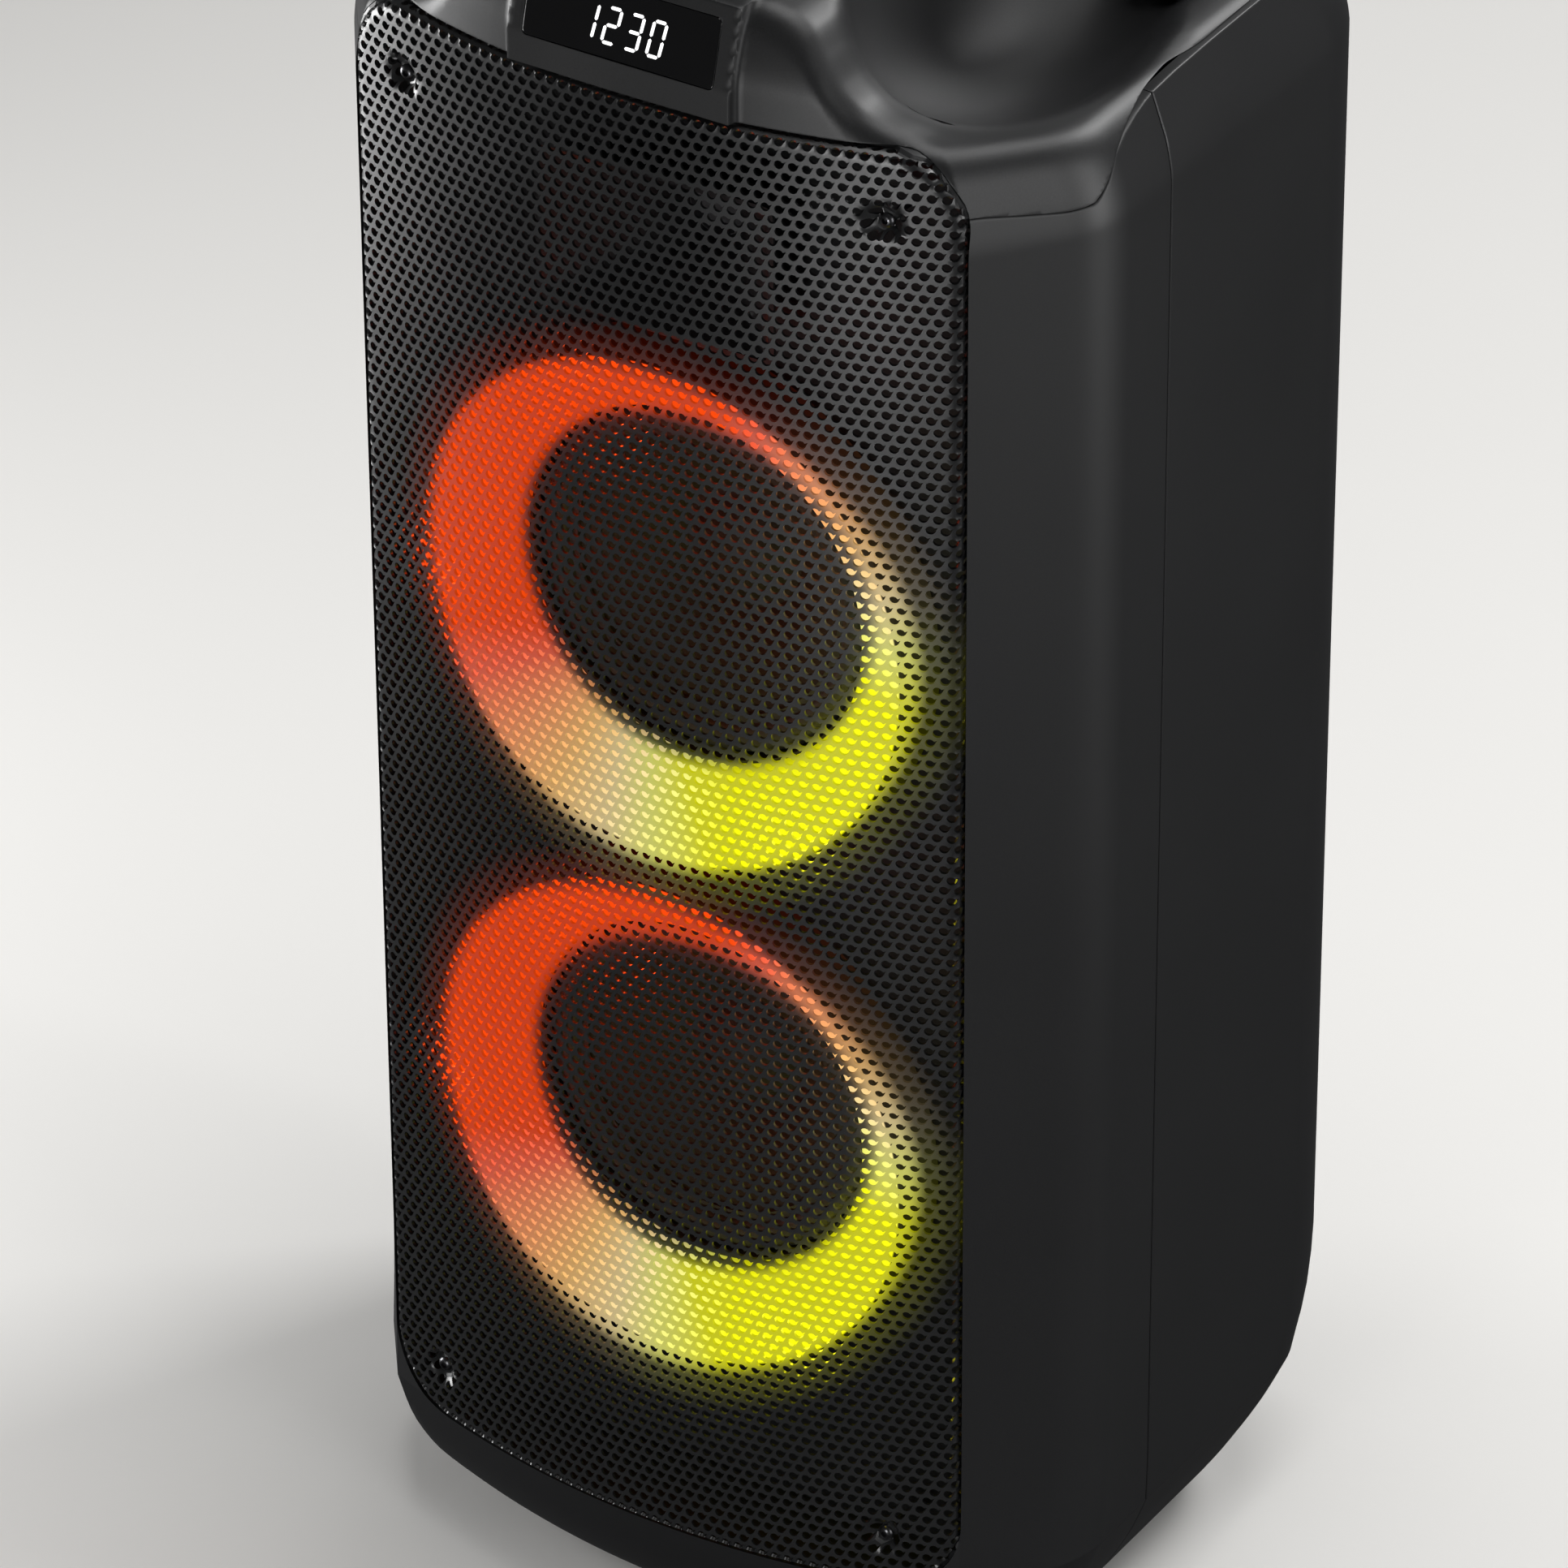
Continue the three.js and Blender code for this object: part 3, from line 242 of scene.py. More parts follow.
def make(name, verts, faces, tidy=True):
    mesh = bpy.data.meshes.new(name)
    mesh.from_pydata((np.asarray(verts, float) * MM).tolist(), [], [list(map(int, f)) for f in faces])
    if tidy:
        work = bmesh.new()
        work.from_mesh(mesh)
        bmesh.ops.remove_doubles(work, verts=work.verts, dist=1e-6)
        bmesh.ops.recalc_face_normals(work, faces=work.faces)
        if work.calc_volume(signed=True) < 0:
            bmesh.ops.reverse_faces(work, faces=work.faces)
        work.to_mesh(mesh)
        work.free()
    return link(name, mesh)


def bake(obj):
    """Turns the object's modifiers into its mesh."""
    graph = bpy.context.evaluated_depsgraph_get()
    mesh = bpy.data.meshes.new_from_object(obj.evaluated_get(graph))
    old = obj.data
    obj.modifiers.clear()
    obj.data = mesh
    bpy.data.meshes.remove(old)
    return obj


def cut(obj, *tools, how="DIFFERENCE"):
    for tool in tools:
        step = obj.modifiers.new("cut", "BOOLEAN")
        step.operation = how
        step.solver = "EXACT"
        step.object = tool
    bake(obj)
    for tool in tools:
        bpy.data.objects.remove(tool)
    return obj


def soften(obj, width, segments=3, angle=38):
    step = obj.modifiers.new("edge", "BEVEL")
    step.width = width * MM
    step.segments = segments
    step.limit_method = "ANGLE"
    step.angle_limit = math.radians(angle)
    step.miter_outer = "MITER_ARC"
    return bake(obj)


def shade(obj, angle=32):
    obj.data.shade_smooth()
    obj.data.set_sharp_from_angle(angle=math.radians(angle))
    return obj


def even_normals(obj):
    step = obj.modifiers.new("normals", "WEIGHTED_NORMAL")
    step.keep_sharp = True
    return obj


def rounded(obj, width, segments=3, angle=38):
    """Soft edges, then smooth shading with the flats kept flat."""
    return even_normals(shade(soften(obj, width, segments, angle)))


def join(obj, *others):
    """Adds the other objects' meshes to this one's."""
    work = bmesh.new()
    work.from_mesh(obj.data)
    for other in others:
        work.from_mesh(other.data)
        bpy.data.objects.remove(other)
    work.to_mesh(obj.data)
    work.free()
    return obj


def prism(name, outline, start, end, along="Y"):
    """A closed prism of a 2D outline. Along Y the outline is (x, z), along X (y, z), along Z (x, y)."""
    n = len(outline)
    turns = {"X": lambda a, b, c: (c, a, b), "Y": lambda a, b, c: (a, c, b), "Z": lambda a, b, c: (a, b, c)}
    turn = turns[along]
    verts = [turn(a, b, c) for c in (start, end) for a, b in outline]
    return make(name, verts, bands(2, n) + ends(2, n))


def block(name, x0, x1, y0, y1, z0, z1):
    return prism(name, [(x0, z0), (x1, z0), (x1, z1), (x0, z1)], y0, y1)


def lathe(name, profile, x=0.0, y=0.0, z=0.0, axis="Y", segments=96, closed=True):
    """Turns a profile of (radius, height) about an axis through (x, y, z)."""
    verts, rings = [], []
    for r, h in profile:
        if r < 1e-6:
            rings.append([len(verts)] * segments)
            verts.append((0, h, 0) if axis == "Y" else (0, 0, h))
            continue
        rings.append(list(range(len(verts), len(verts) + segments)))
        for k in range(segments):
            a = 2 * math.pi * k / segments
            c, s = r * math.cos(a), r * math.sin(a)
            verts.append((c, h, s) if axis == "Y" else (c, s, h))
    count = len(rings) if closed and profile[0][0] > 0 else len(rings) - 1
    faces = []
    for i in range(count):
        a, b = rings[i], rings[(i + 1) % len(rings)]
        for k in range(segments):
            m = (k + 1) % segments
            face = list(dict.fromkeys([a[k], a[m], b[m], b[k]]))
            if len(face) > 2:
                faces.append(face)
    return make(name, np.array(verts) + (x, y, z), faces)


def rod(name, x, z, r, y0, y1, segments=48):
    return lathe(name, [(0, y0), (r, y0), (r, y1), (0, y1)], x, 0, z, "Y", segments)


def turn_profile(points, steps=6):
    """A smooth run through a few profile points, for a lathe."""
    pts = np.array(points, float)
    t = np.concatenate([[0], np.cumsum(np.linalg.norm(np.diff(pts, axis=0), axis=1))])
    fine = np.interp(np.arange((len(t) - 1) * steps + 1) / steps, np.arange(len(t)), t)
    r = smooth_curve(list(zip(t, pts[:, 0])))(fine)
    h = smooth_curve(list(zip(t, pts[:, 1])))(fine)
    return list(zip(r, h))


# ---- materials ----
def linear(colour):
    shares = [v / 255 for v in colour]
    return tuple(c / 12.92 if c <= 0.04045 else ((c + 0.055) / 1.055) ** 2.4 for c in shares)


class Finish:
    """A Principled material built up from a few named nodes. Coordinates are the piece's own, in metres."""

    def __init__(self, name, **fixed):
        self.material = bpy.data.materials.new(name)
        self.material.use_nodes = True
        self.tree = self.material.node_tree
        self.shader = self.tree.nodes["Principled BSDF"]
        self.coords = self.add("ShaderNodeTexCoord").outputs["Object"]
        for key, value in fixed.items():
            self.shader.inputs[key.replace("_", " ")].default_value = value

    def add(self, kind, links=(), values=(), **settings):
        node = self.tree.nodes.new(kind)
        for key, value in settings.items():
            setattr(node, key, value)
        for key, value in dict(values).items():
            node.inputs[key].default_value = value
        for key, source in dict(links).items():
            self.tree.links.new(source, node.inputs[key])
        return node

    def fill(self, socket, value):
        """Links a source to the socket, or sets a number or a colour on it."""
        if isinstance(value, tuple):
            socket.default_value = (*value, 1)
        elif isinstance(value, (int, float)):
            socket.default_value = value
        else:
            self.tree.links.new(value, socket)

    def set(self, key, source):
        self.tree.links.new(source, self.shader.inputs[key])

    def noise(self, size, detail=3.0, stretch=None):
        """Noise whose features are about size millimetres across."""
        where = self.coords
        if stretch:
            where = self.add("ShaderNodeMapping", {"Vector": where}, {"Scale": stretch}).outputs[0]
        values = {"Scale": 1 / (size * MM), "Detail": detail, "Roughness": 0.55}
        return self.add("ShaderNodeTexNoise", {"Vector": where}, values).outputs[0]

    def cells(self, size):
        values = {"Scale": 1 / (size * MM)}
        return self.add("ShaderNodeTexVoronoi", {"Vector": self.coords}, values).outputs["Distance"]

    def spread(self, source, low, high, start=0.3, end=0.7):
        values = {"From Min": start, "From Max": end, "To Min": low, "To Max": high}
        return self.add("ShaderNodeMapRange", {"Value": source}, values).outputs[0]

    def ramp(self, source, stops):
        node = self.add("ShaderNodeValToRGB", {"Fac": source})
        elements = node.color_ramp.elements
        for _ in range(len(stops) - 2):
            elements.new(0.5)
        for element, (at, colour) in zip(elements, stops):
            element.position = at
            element.color = (*colour, 1)
        return node.outputs["Color"]

    def mix(self, factor, a, b, how="MIX"):
        """Mixes two colours. Sockets 6, 7 and output 2 are the colour ones."""
        node = self.add("ShaderNodeMix", data_type="RGBA", blend_type=how)
        for socket, value in ((0, factor), (6, a), (7, b)):
            self.fill(node.inputs[socket], value)
        return node.outputs[2]

    def math(self, how, a, b=0.0):
        node = self.add("ShaderNodeMath", operation=how)
        for socket, value in zip(node.inputs, (a, b)):
            self.fill(socket, value)
        return node.outputs[0]

    def bump(self, height, depth, strength=1.0):
        """Raises the surface by depth millimetres where height is 1."""
        values = {"Strength": strength, "Distance": depth * MM}
        self.set("Normal", self.add("ShaderNodeBump", {"Height": height}, values).outputs[0])


def grained(name, colour, rough, grain=0.7, depth=0.02, swing=0.25, cloud=90, **fixed):
    """Moulded plastic: fine grain in height and tone, with slow changes in tone and sheen."""
    f = Finish(name, **fixed)
    fine = f.noise(grain, 2.0)
    slow = f.noise(cloud, 2.0)
    dark = tuple(c * (1 - swing) for c in colour)
    light = tuple(c * (1 + swing) for c in colour)
    tone = f.math("ADD", f.math("MULTIPLY", fine, 0.92), f.math("MULTIPLY", slow, 0.08))
    f.set("Base Color", f.mix(f.spread(tone, 0, 1, 0.35, 0.65), dark, light))
    f.set("Roughness", f.spread(slow, rough - 0.012, rough + 0.012))
    f.bump(fine, depth)
    return f.material


RING_AXIS = math.radians(-42)
RING_STOPS = [
    (0.0, (254, 254, 10)), (0.19, (254, 254, 16)), (0.27, (254, 253, 130)), (0.335, (254, 230, 165)),
    (0.42, (254, 198, 122)), (0.5, (254, 160, 104)), (0.585, (253, 105, 74)), (0.65, (252, 74, 8)),
    (1.0, (252, 72, 4)),
]


def ring_light(f, centre_x, centre_z):
    """(colour, distance) sockets for the light round one ring, from the yellow side to the red."""
    split = f.add("ShaderNodeSeparateXYZ", {"Vector": f.coords}).outputs
    x = f.math("SUBTRACT", split[0], centre_x * MM)
    z = f.math("SUBTRACT", split[2], centre_z * MM)
    c, s = math.cos(RING_AXIS), math.sin(RING_AXIS)
    along = f.math("ADD", f.math("MULTIPLY", x, c), f.math("MULTIPLY", z, s))
    across = f.math("SUBTRACT", f.math("MULTIPLY", z, c), f.math("MULTIPLY", x, s))
    angle = f.math("DIVIDE", f.math("ARCTAN2", f.math("ABSOLUTE", across), along), math.pi)
    reach = f.math("SQRT", f.math("ADD", f.math("MULTIPLY", x, x), f.math("MULTIPLY", z, z)))
    return f.ramp(angle, [(at, linear(colour)) for at, colour in RING_STOPS]), reach


def diffuser_finish(name, z):
    """Lit translucent ring: its colour turns from red-orange through peach to yellow."""
    f = Finish(name, Roughness=0.5, Specular_IOR_Level=0.1, Emission_Strength=1.0)
    colour, reach = ring_light(f, 0, z)
    across = f.spread(reach, 0, 1, THROAT_R * MM, (RING_R + 1) * MM)
    levels = ((0.0, 0.45), (0.1, 0.9), (0.3, 1), (0.965, 1), (0.99, 0.02))
    depth = f.ramp(across, [(at, (level,) * 3) for at, level in levels])
    grain = f.mix(f.noise(3, 2.0), (0.97,) * 3, (1.03,) * 3)
    lit = f.mix(1.0, colour, depth, "MULTIPLY")
    f.set("Emission Color", f.mix(1.0, lit, grain, "MULTIPLY"))
    f.set("Base Color", f.mix(f.noise(8, 2.0), (0.008, 0.007, 0.006), (0.012, 0.011, 0.010)))
    f.bump(f.noise(0.8, 2.0), 0.02)
    return f.material


# how far the painted glow on the grille stands right of and above each ring, at its rim and at its throat,
# shifted as the rings are seen through the grille from above right
GLOW_RIM = (11, 12)
GLOW_THROAT = (27, 30)
# strength of the painted glow over each ring's band, and of the fainter painted spill just outside it
BAND_LEVEL, SPILL_LEVEL = 0.48, 0.06


def fade(f, source, start, end, low=0.0, high=1.0):
    values = {"From Min": start * MM, "From Max": end * MM, "To Min": low, "To Max": high}
    return f.add("ShaderNodeMapRange", {"Value": source}, values, interpolation_type="SMOOTHSTEP").outputs[0]


def grille_finish():
    """Satin powder coat, with a painted glow: emission in each ring's colours on the metal round the holes in
    front of it, standing in for the rings' light.
    """
    f = Finish("grille_powder_coat_painted_glow", Specular_IOR_Level=0.55, Emission_Strength=1.0)
    fine = f.noise(0.45, 3.0)
    slow = f.noise(40, 2.0)
    f.set("Base Color", f.mix(f.spread(fine, 0, 1), (0.007, 0.0073, 0.008), (0.011, 0.0115, 0.012)))
    f.set("Roughness", f.spread(slow, 0.32, 0.36))
    f.bump(fine, 0.012)
    # painted glow, not the coat's own colour: each ring's colours as emission over its band, with a fading
    # painted halo round it
    total = None
    for z in RING_Z:
        colour, reach = ring_light(f, GLOW_RIM[0], z + GLOW_RIM[1])
        inner = ring_light(f, GLOW_THROAT[0], z + GLOW_THROAT[1])[1]
        rim = fade(f, reach, RING_R - 5, RING_R + 4, 1, 0)
        band = f.math("MULTIPLY", rim, fade(f, inner, THROAT_R - 5, THROAT_R + 3))
        halo = fade(f, reach, RING_R, RING_R + 20, 1, 0)
        spill = f.math("MULTIPLY", halo, fade(f, inner, THROAT_R - 12, THROAT_R))
        level = f.math("ADD", f.math("MULTIPLY", band, BAND_LEVEL), f.math("MULTIPLY", spill, SPILL_LEVEL))
        part = f.mix(1.0, colour, level, "MULTIPLY")
        total = part if total is None else f.mix(1.0, total, part, "ADD")
    f.set("Emission Color", total)
    return f.material


def gloss_finish(name, colour=(0.003, 0.003, 0.0035)):
    f = Finish(name, Coat_Weight=1.0, Coat_Roughness=0.03, Specular_IOR_Level=0.5)
    slow = f.noise(30, 2.0)
    f.set("Base Color", f.mix(slow, colour, tuple(c * 1.6 for c in colour)))
    f.set("Roughness", f.spread(slow, 0.10, 0.16))
    f.bump(f.noise(14, 1.0), 0.004)
    return f.material


def metal_finish(name, colour, rough, brushed=False, metallic=1.0):
    f = Finish(name, Metallic=metallic)
    fine = f.noise(0.5, 3.0, (40, 1, 1) if brushed else None)
    slow = f.noise(18, 2.0)
    f.set("Base Color", f.mix(slow, tuple(c * 0.85 for c in colour), tuple(min(1, c * 1.1) for c in colour)))
    f.set("Roughness", f.spread(fine, rough - 0.07, rough + 0.07))
    f.bump(fine, 0.006)
    return f.material


def paper_finish():
    f = Finish("cone_paper", Specular_IOR_Level=0.3)
    fibres = f.noise(0.9, 4.0, (1, 3, 1))
    slow = f.noise(12, 3.0)
    f.set("Base Color", f.mix(f.spread(fibres, 0, 1), (0.009, 0.007, 0.005), (0.022, 0.018, 0.012)))
    f.set("Roughness", f.spread(slow, 0.62, 0.78))
    f.bump(fibres, 0.08)
    return f.material


def rubber_finish(name="soft_rubber", colour=(0.018, 0.018, 0.019), rough=0.62):
    f = Finish(name, Specular_IOR_Level=0.4)
    fine = f.noise(0.5, 3.0)
    slow = f.noise(15, 3.0)
    f.set("Base Color", f.mix(slow, tuple(c * 0.8 for c in colour), tuple(c * 1.4 for c in colour)))
    f.set("Roughness", f.spread(slow, rough - 0.06, rough + 0.08))
    f.bump(fine, 0.02)
    return f.material


def cloth_finish():
    f = Finish("spider_cloth", Specular_IOR_Level=0.2, Sheen_Weight=0.3, Sheen_Roughness=0.5)
    values = {"Scale": 400.0, "Distortion": 0.5}
    weave = f.add("ShaderNodeTexWave", {"Vector": f.coords}, values, wave_type="RINGS").outputs[0]
    f.set("Base Color", f.mix(weave, (0.30, 0.20, 0.08), (0.48, 0.34, 0.15)))
    f.set("Roughness", f.spread(f.noise(5, 3.0), 0.8, 0.92))
    f.bump(weave, 0.1)
    return f.material


def board_finish():
    f = Finish("circuit_board", Specular_IOR_Level=0.5)
    tracks = f.cells(4.0)
    f.set("Base Color", f.mix(f.spread(tracks, 0, 1, 0.2, 0.3), (0.01, 0.07, 0.035), (0.02, 0.14, 0.07)))
    f.set("Roughness", f.spread(tracks, 0.35, 0.5, 0.1, 0.5))
    f.bump(tracks, 0.05)
    return f.material


def lit_finish(name, colour, strength):
    f = Finish(name, Roughness=0.5, Emission_Strength=strength)
    tone = f.noise(2.0, 2.0)
    f.set("Emission Color", f.mix(tone, tuple(c * 0.93 for c in colour), colour))
    f.set("Base Color", f.mix(tone, (0.5,) * 3, (0.6,) * 3))
    return f.material


BODY = grained("body_plastic", (0.0060, 0.0062, 0.0068), 0.44, 0.55, 0.008, Specular_IOR_Level=0.5)
CAP = grained("cap_plastic", (0.0060, 0.0062, 0.0068), 0.46, 0.75, 0.016, 0.35, Specular_IOR_Level=0.5)
GRILLE = grille_finish()
GLOSS = gloss_finish("piano_black")
WINDOW = gloss_finish("smoked_window", (0.0015, 0.0015, 0.0018))
SCREW = metal_finish("black_zinc", (0.10, 0.10, 0.105), 0.32)
PAPER = paper_finish()
RUBBER = rubber_finish()
HORN = grained("horn_plastic", (0.018, 0.018, 0.019), 0.42, 0.9, 0.01)
KNOB = grained("knob_plastic", (0.020, 0.020, 0.021), 0.38, 0.5, 0.012)
KEY = grained("key_plastic", (0.016, 0.016, 0.017), 0.45, 0.5, 0.010)
PAINT = metal_finish("black_paint", (0.03, 0.03, 0.032), 0.45, metallic=0.3)
PLATED = metal_finish("plated_steel", (0.55, 0.55, 0.56), 0.35)
FERRITE = metal_finish("ferrite", (0.08, 0.08, 0.085), 0.6, metallic=0.2)
ALUMINIUM = metal_finish("bare_aluminium", (0.70, 0.70, 0.71), 0.35, brushed=True)
BOARD = board_finish()
CLOTH = cloth_finish()
WRAP = grained("battery_wrap", (0.02, 0.07, 0.22), 0.4, 3.0, 0.05)
PRINT = grained("panel_print", (0.50, 0.50, 0.49), 0.6, 0.4, 0.004)
WHITE_LIGHT = lit_finish("white_led", (1.0, 1.0, 1.0), 1.4)


def piece(obj, material, nodes=(), body="cabinet"):
    """Gives a finished mesh its material, its body and the CAD nodes that it stands for."""
    obj.data.materials.clear()
    obj.data.materials.append(material)
    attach(obj, body)
    if nodes:
        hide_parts(*nodes)
    return obj


# ---- shells ----
# back from the seam, then in from the surface: the small round that runs along both edges of a seam
ROLL = [(1.1, 0.0), (0.55, 0.1), (0.28, 0.35), (0.2, 0.8), (0.19, 1.6)]
LOW_ROWS = [FLOOR_Z, 6.5, 8, 10, 12.5, 15, 18, 21.5, 25, 30, 35, 40, 45, 50, 55, 60.2, CREASE_Z, 61.8]
LOW_ROWS += [66, 75, 85, 97, 110]


def heights():
    """Rows below the shoulder as heights, then rows above it as shares of the way to the cap seam."""
    low = [(z, None, (0, 0)) for z in LOW_ROWS + list(np.linspace(130, SHOULDER_Z - 5, 16))]
    high = [(None, share, (0, 0)) for share in np.linspace(0.08, 0.92, 13)]
    return low + high + [(None, 1.0, roll) for roll in ROLL]


def shell_grid(front):
    """Rows of surface points of one shell, from one end of its seam round to the other."""
    face, rear = half_plan()
    run = face if front else rear
    n = normals(face + rear)
    n = n[: len(face)] if front else n[len(face):]
    sign = -1 if front else 1
    grid = []
    for z, share, (back, inward) in heights():
        edge_plan = face[-1] if front else rear[0]

        def at(px, py, normal, extra):
            x, y = place(px, py, z if z is not None else SHOULDER_Z + 20)
            level = z if z is not None else SHOULDER_Z - 5 + share * (cap_seam(y) - back - SHOULDER_Z + 5)
            x, y = place(px, py, level)
            return [x - normal[0] * (inward + extra), y - normal[1] * (inward + extra), level]

        main = [at(px, py, normal, 0) for (px, py), normal in zip(run, n)]
        anchor = at(*edge_plan, (1, 0), 0)
        side = []
        steps = [(t, ROLL[0]) for t in (0.3, 0.6, 0.85)] + [(1.0, roll) for roll in ROLL]
        for share_y, (edge, extra) in steps:
            target = SEAM_Y + sign * edge
            y = anchor[1] + share_y * (target - anchor[1])
            level = anchor[2]
            if z is None:
                level = SHOULDER_Z - 5 + share * (cap_seam(y) - back - SHOULDER_Z + 5)
            x = place(HALF_W, 0, level)[0]
            side.append([x - inward - extra, y, level])
        half = np.array(main + side if front else side[::-1] + main)
        mirror = half * (-1, 1, 1)
        row = np.concatenate([mirror[::-1], half[1:]]) if front else np.concatenate([half, mirror[::-1]])
        grid.append(row)
    return np.array(grid)


def closed_grid(name, grid):
    """A solid from a bent grid: its skin, the flat across its open side, and its top and bottom."""
    rows, cols = grid.shape[:2]
    index = np.arange(rows * cols).reshape(rows, cols)
    faces = []
    for j in range(rows - 1):
        for k in range(cols - 1):
            faces.append([index[j, k], index[j, k + 1], index[j + 1, k + 1], index[j + 1, k]])
        faces.append([index[j, 0], index[j, cols - 1], index[j + 1, cols - 1], index[j + 1, 0]])
    for j in (0, rows - 1):
        for k in range(cols // 2):
            a, b = index[j, k], index[j, k + 1]
            c, d = index[j, cols - 2 - k], index[j, cols - 1 - k]
            face = list(dict.fromkeys([int(a), int(b), int(c), int(d)]))
            if len(face) > 2:
                faces.append(face)
    return make(name, grid.reshape(-1, 3), faces)


def grille_outline(grow, steps=12):
    r = GRILLE_CORNER_R + grow
    x = GRILLE_HALF_W + grow
    return rounded_rect(-x, x, GRILLE_Z0 - grow, GRILLE_Z1 + grow, r, steps)


def pocket():
    return prism("pocket", grille_outline(SLOT), FRONT_Y - 10, BAFFLE_Y)


def hollow(front):
    """The room inside the walls, as a coarse solid. In front it stops behind the baffle."""
    face, rear = half_plan()
    half = [p for i, p in enumerate(face + rear) if i % 3 == 0 or p in (face[-1], rear[-1])]
    nearest = BAFFLE_Y + BAFFLE_T if front else FRONT_Y
    outline = [(max(x - WALL, 0), min(max(y, nearest), REAR_Y - WALL)) for x, y in half]
    outline += [(-x, y) for x, y in reversed(outline) if x > 0]
    rows = []
    for z in [FLOOR_Z + WALL, 20, 40, CREASE_Z + 3, 110, SHOULDER_Z, SHOULDER_Z + 60]:
        rows.append([(*place(x, y, z), z) for x, y in outline])
    rows = np.array(rows)
    if front:
        rows[:, :, 1] = np.maximum(rows[:, :, 1], nearest)
    n = len(outline)
    return make("hollow", rows.reshape(-1, 3), ends(len(rows), n) + bands(len(rows), n))


def foot_holes(*numbers):
    hole = [(0, 0), (3.3, 0), (3.3, 20), (0, 20)]
    return [lathe("foot_hole", hole, *centre(f"foot_{k}")[:2], 0, "Z", 16) for k in numbers]


def front_shell():
    shell = closed_grid("front_moulding", shell_grid(True))
    tools = [pocket(), hollow(True)]
    for z in RING_Z:
        tools.append(rod("throat", 0, z, THROAT_R - 1, BAFFLE_Y - 5, BAFFLE_Y + BAFFLE_T + 5, 64))
    tools.append(block("horn_hole", -35, 35, BAFFLE_Y - 5, BAFFLE_Y + BAFFLE_T + 5, HORN_Z - 27, HORN_Z + 27))
    cut(shell, *tools, *foot_holes(1, 2))
    piece(rounded(shell, 0.7, 2, 50), BODY, ["front_shell"])


def rear_shell():
    shell = closed_grid("rear_moulding", shell_grid(False))
    slot = rounded_rect(-75, 75, TRAY_Z - 50, TRAY_Z + 50, 8)
    tools = [
        hollow(False),
        rod("port_hole", 0, PORT_Z, 41, REAR_Y - 15, REAR_Y + 5, 96),
        prism("tray_hole", slot, REAR_Y - 15, REAR_Y + 5),
    ]
    cut(shell, *tools, *foot_holes(3, 4))
    piece(rounded(shell, 0.7, 2, 50), BODY, ["rear_shell"])


# ---- top cap, as the zero surface of a distance field ----
COVE = smooth_curve([
    (0, 84), (50, 84), (60, 82), (69, 77), (76, 68), (83, 58), (91, 50), (103, 44), (113, 40),
    (125, 38), (150, 36), (170, 32),
])
NOSE_HALF_W = 47.5
BOWL_X, BOWL_Y, BOWL_Z = 102, FRONT_Y + 114, SHOULDER_Z + 90
BOWL_IN, BOWL_OUT, BOWL_Y_R, BOWL_Z_R = 50, 60, 97, 70


def outline_planes():
    face, rear = half_plan()
    points = np.array(face + rear + [(0, REAR_Y)])
    edges = np.diff(points, axis=0)
    n = np.stack([edges[:, 1], -edges[:, 0]], 1)
    n /= np.linalg.norm(n, axis=1)[:, None]
    return n, (n * points[:-1]).sum(1)


PLANES = outline_planes()


def smooth_max(a, b, k):
    h = np.maximum(k - np.abs(a - b), 0) / k
    return np.maximum(a, b) + h * h * k / 4


def cap_field(p):
    """Below zero inside the solid top cap."""
    x, y, z = np.abs(p[:, 0]), p[:, 1], p[:, 2]
    across, shift, deep = plan_scale(z)
    plan = np.stack([x / across, (y - FACE_Y - shift) / deep + FACE_Y], 1)
    wall = (plan @ PLANES[0].T - PLANES[1]).max(1)
    rise = smoothstep((y + 10) / 26)
    top = SHOULDER_Z + COVE(x) * (1 - rise) + (DECK_Z - SHOULDER_Z) * rise
    body = smooth_max(wall, (z - top) / 1.3, 10)
    lean = FACE_Y + math.tan(WINDOW_TILT) * np.maximum(z - WINDOW_Z, 0)
    nose = np.maximum(np.maximum(x - NOSE_HALF_W, lean - y), np.maximum(z - CONSOLE_Z, y - FACE_Y - 70))
    body = -smooth_max(-body, -nose, 2.5)
    reach_x = np.where(x < BOWL_X, BOWL_IN, BOWL_OUT)
    from_bowl = ((x - BOWL_X) / reach_x, (y - BOWL_Y) / BOWL_Y_R, (z - BOWL_Z) / BOWL_Z_R)
    bowl = np.sqrt(from_bowl[0] ** 2 + from_bowl[1] ** 2 + from_bowl[2] ** 2)
    return smooth_max(body, (1 - bowl) * 50, 4)


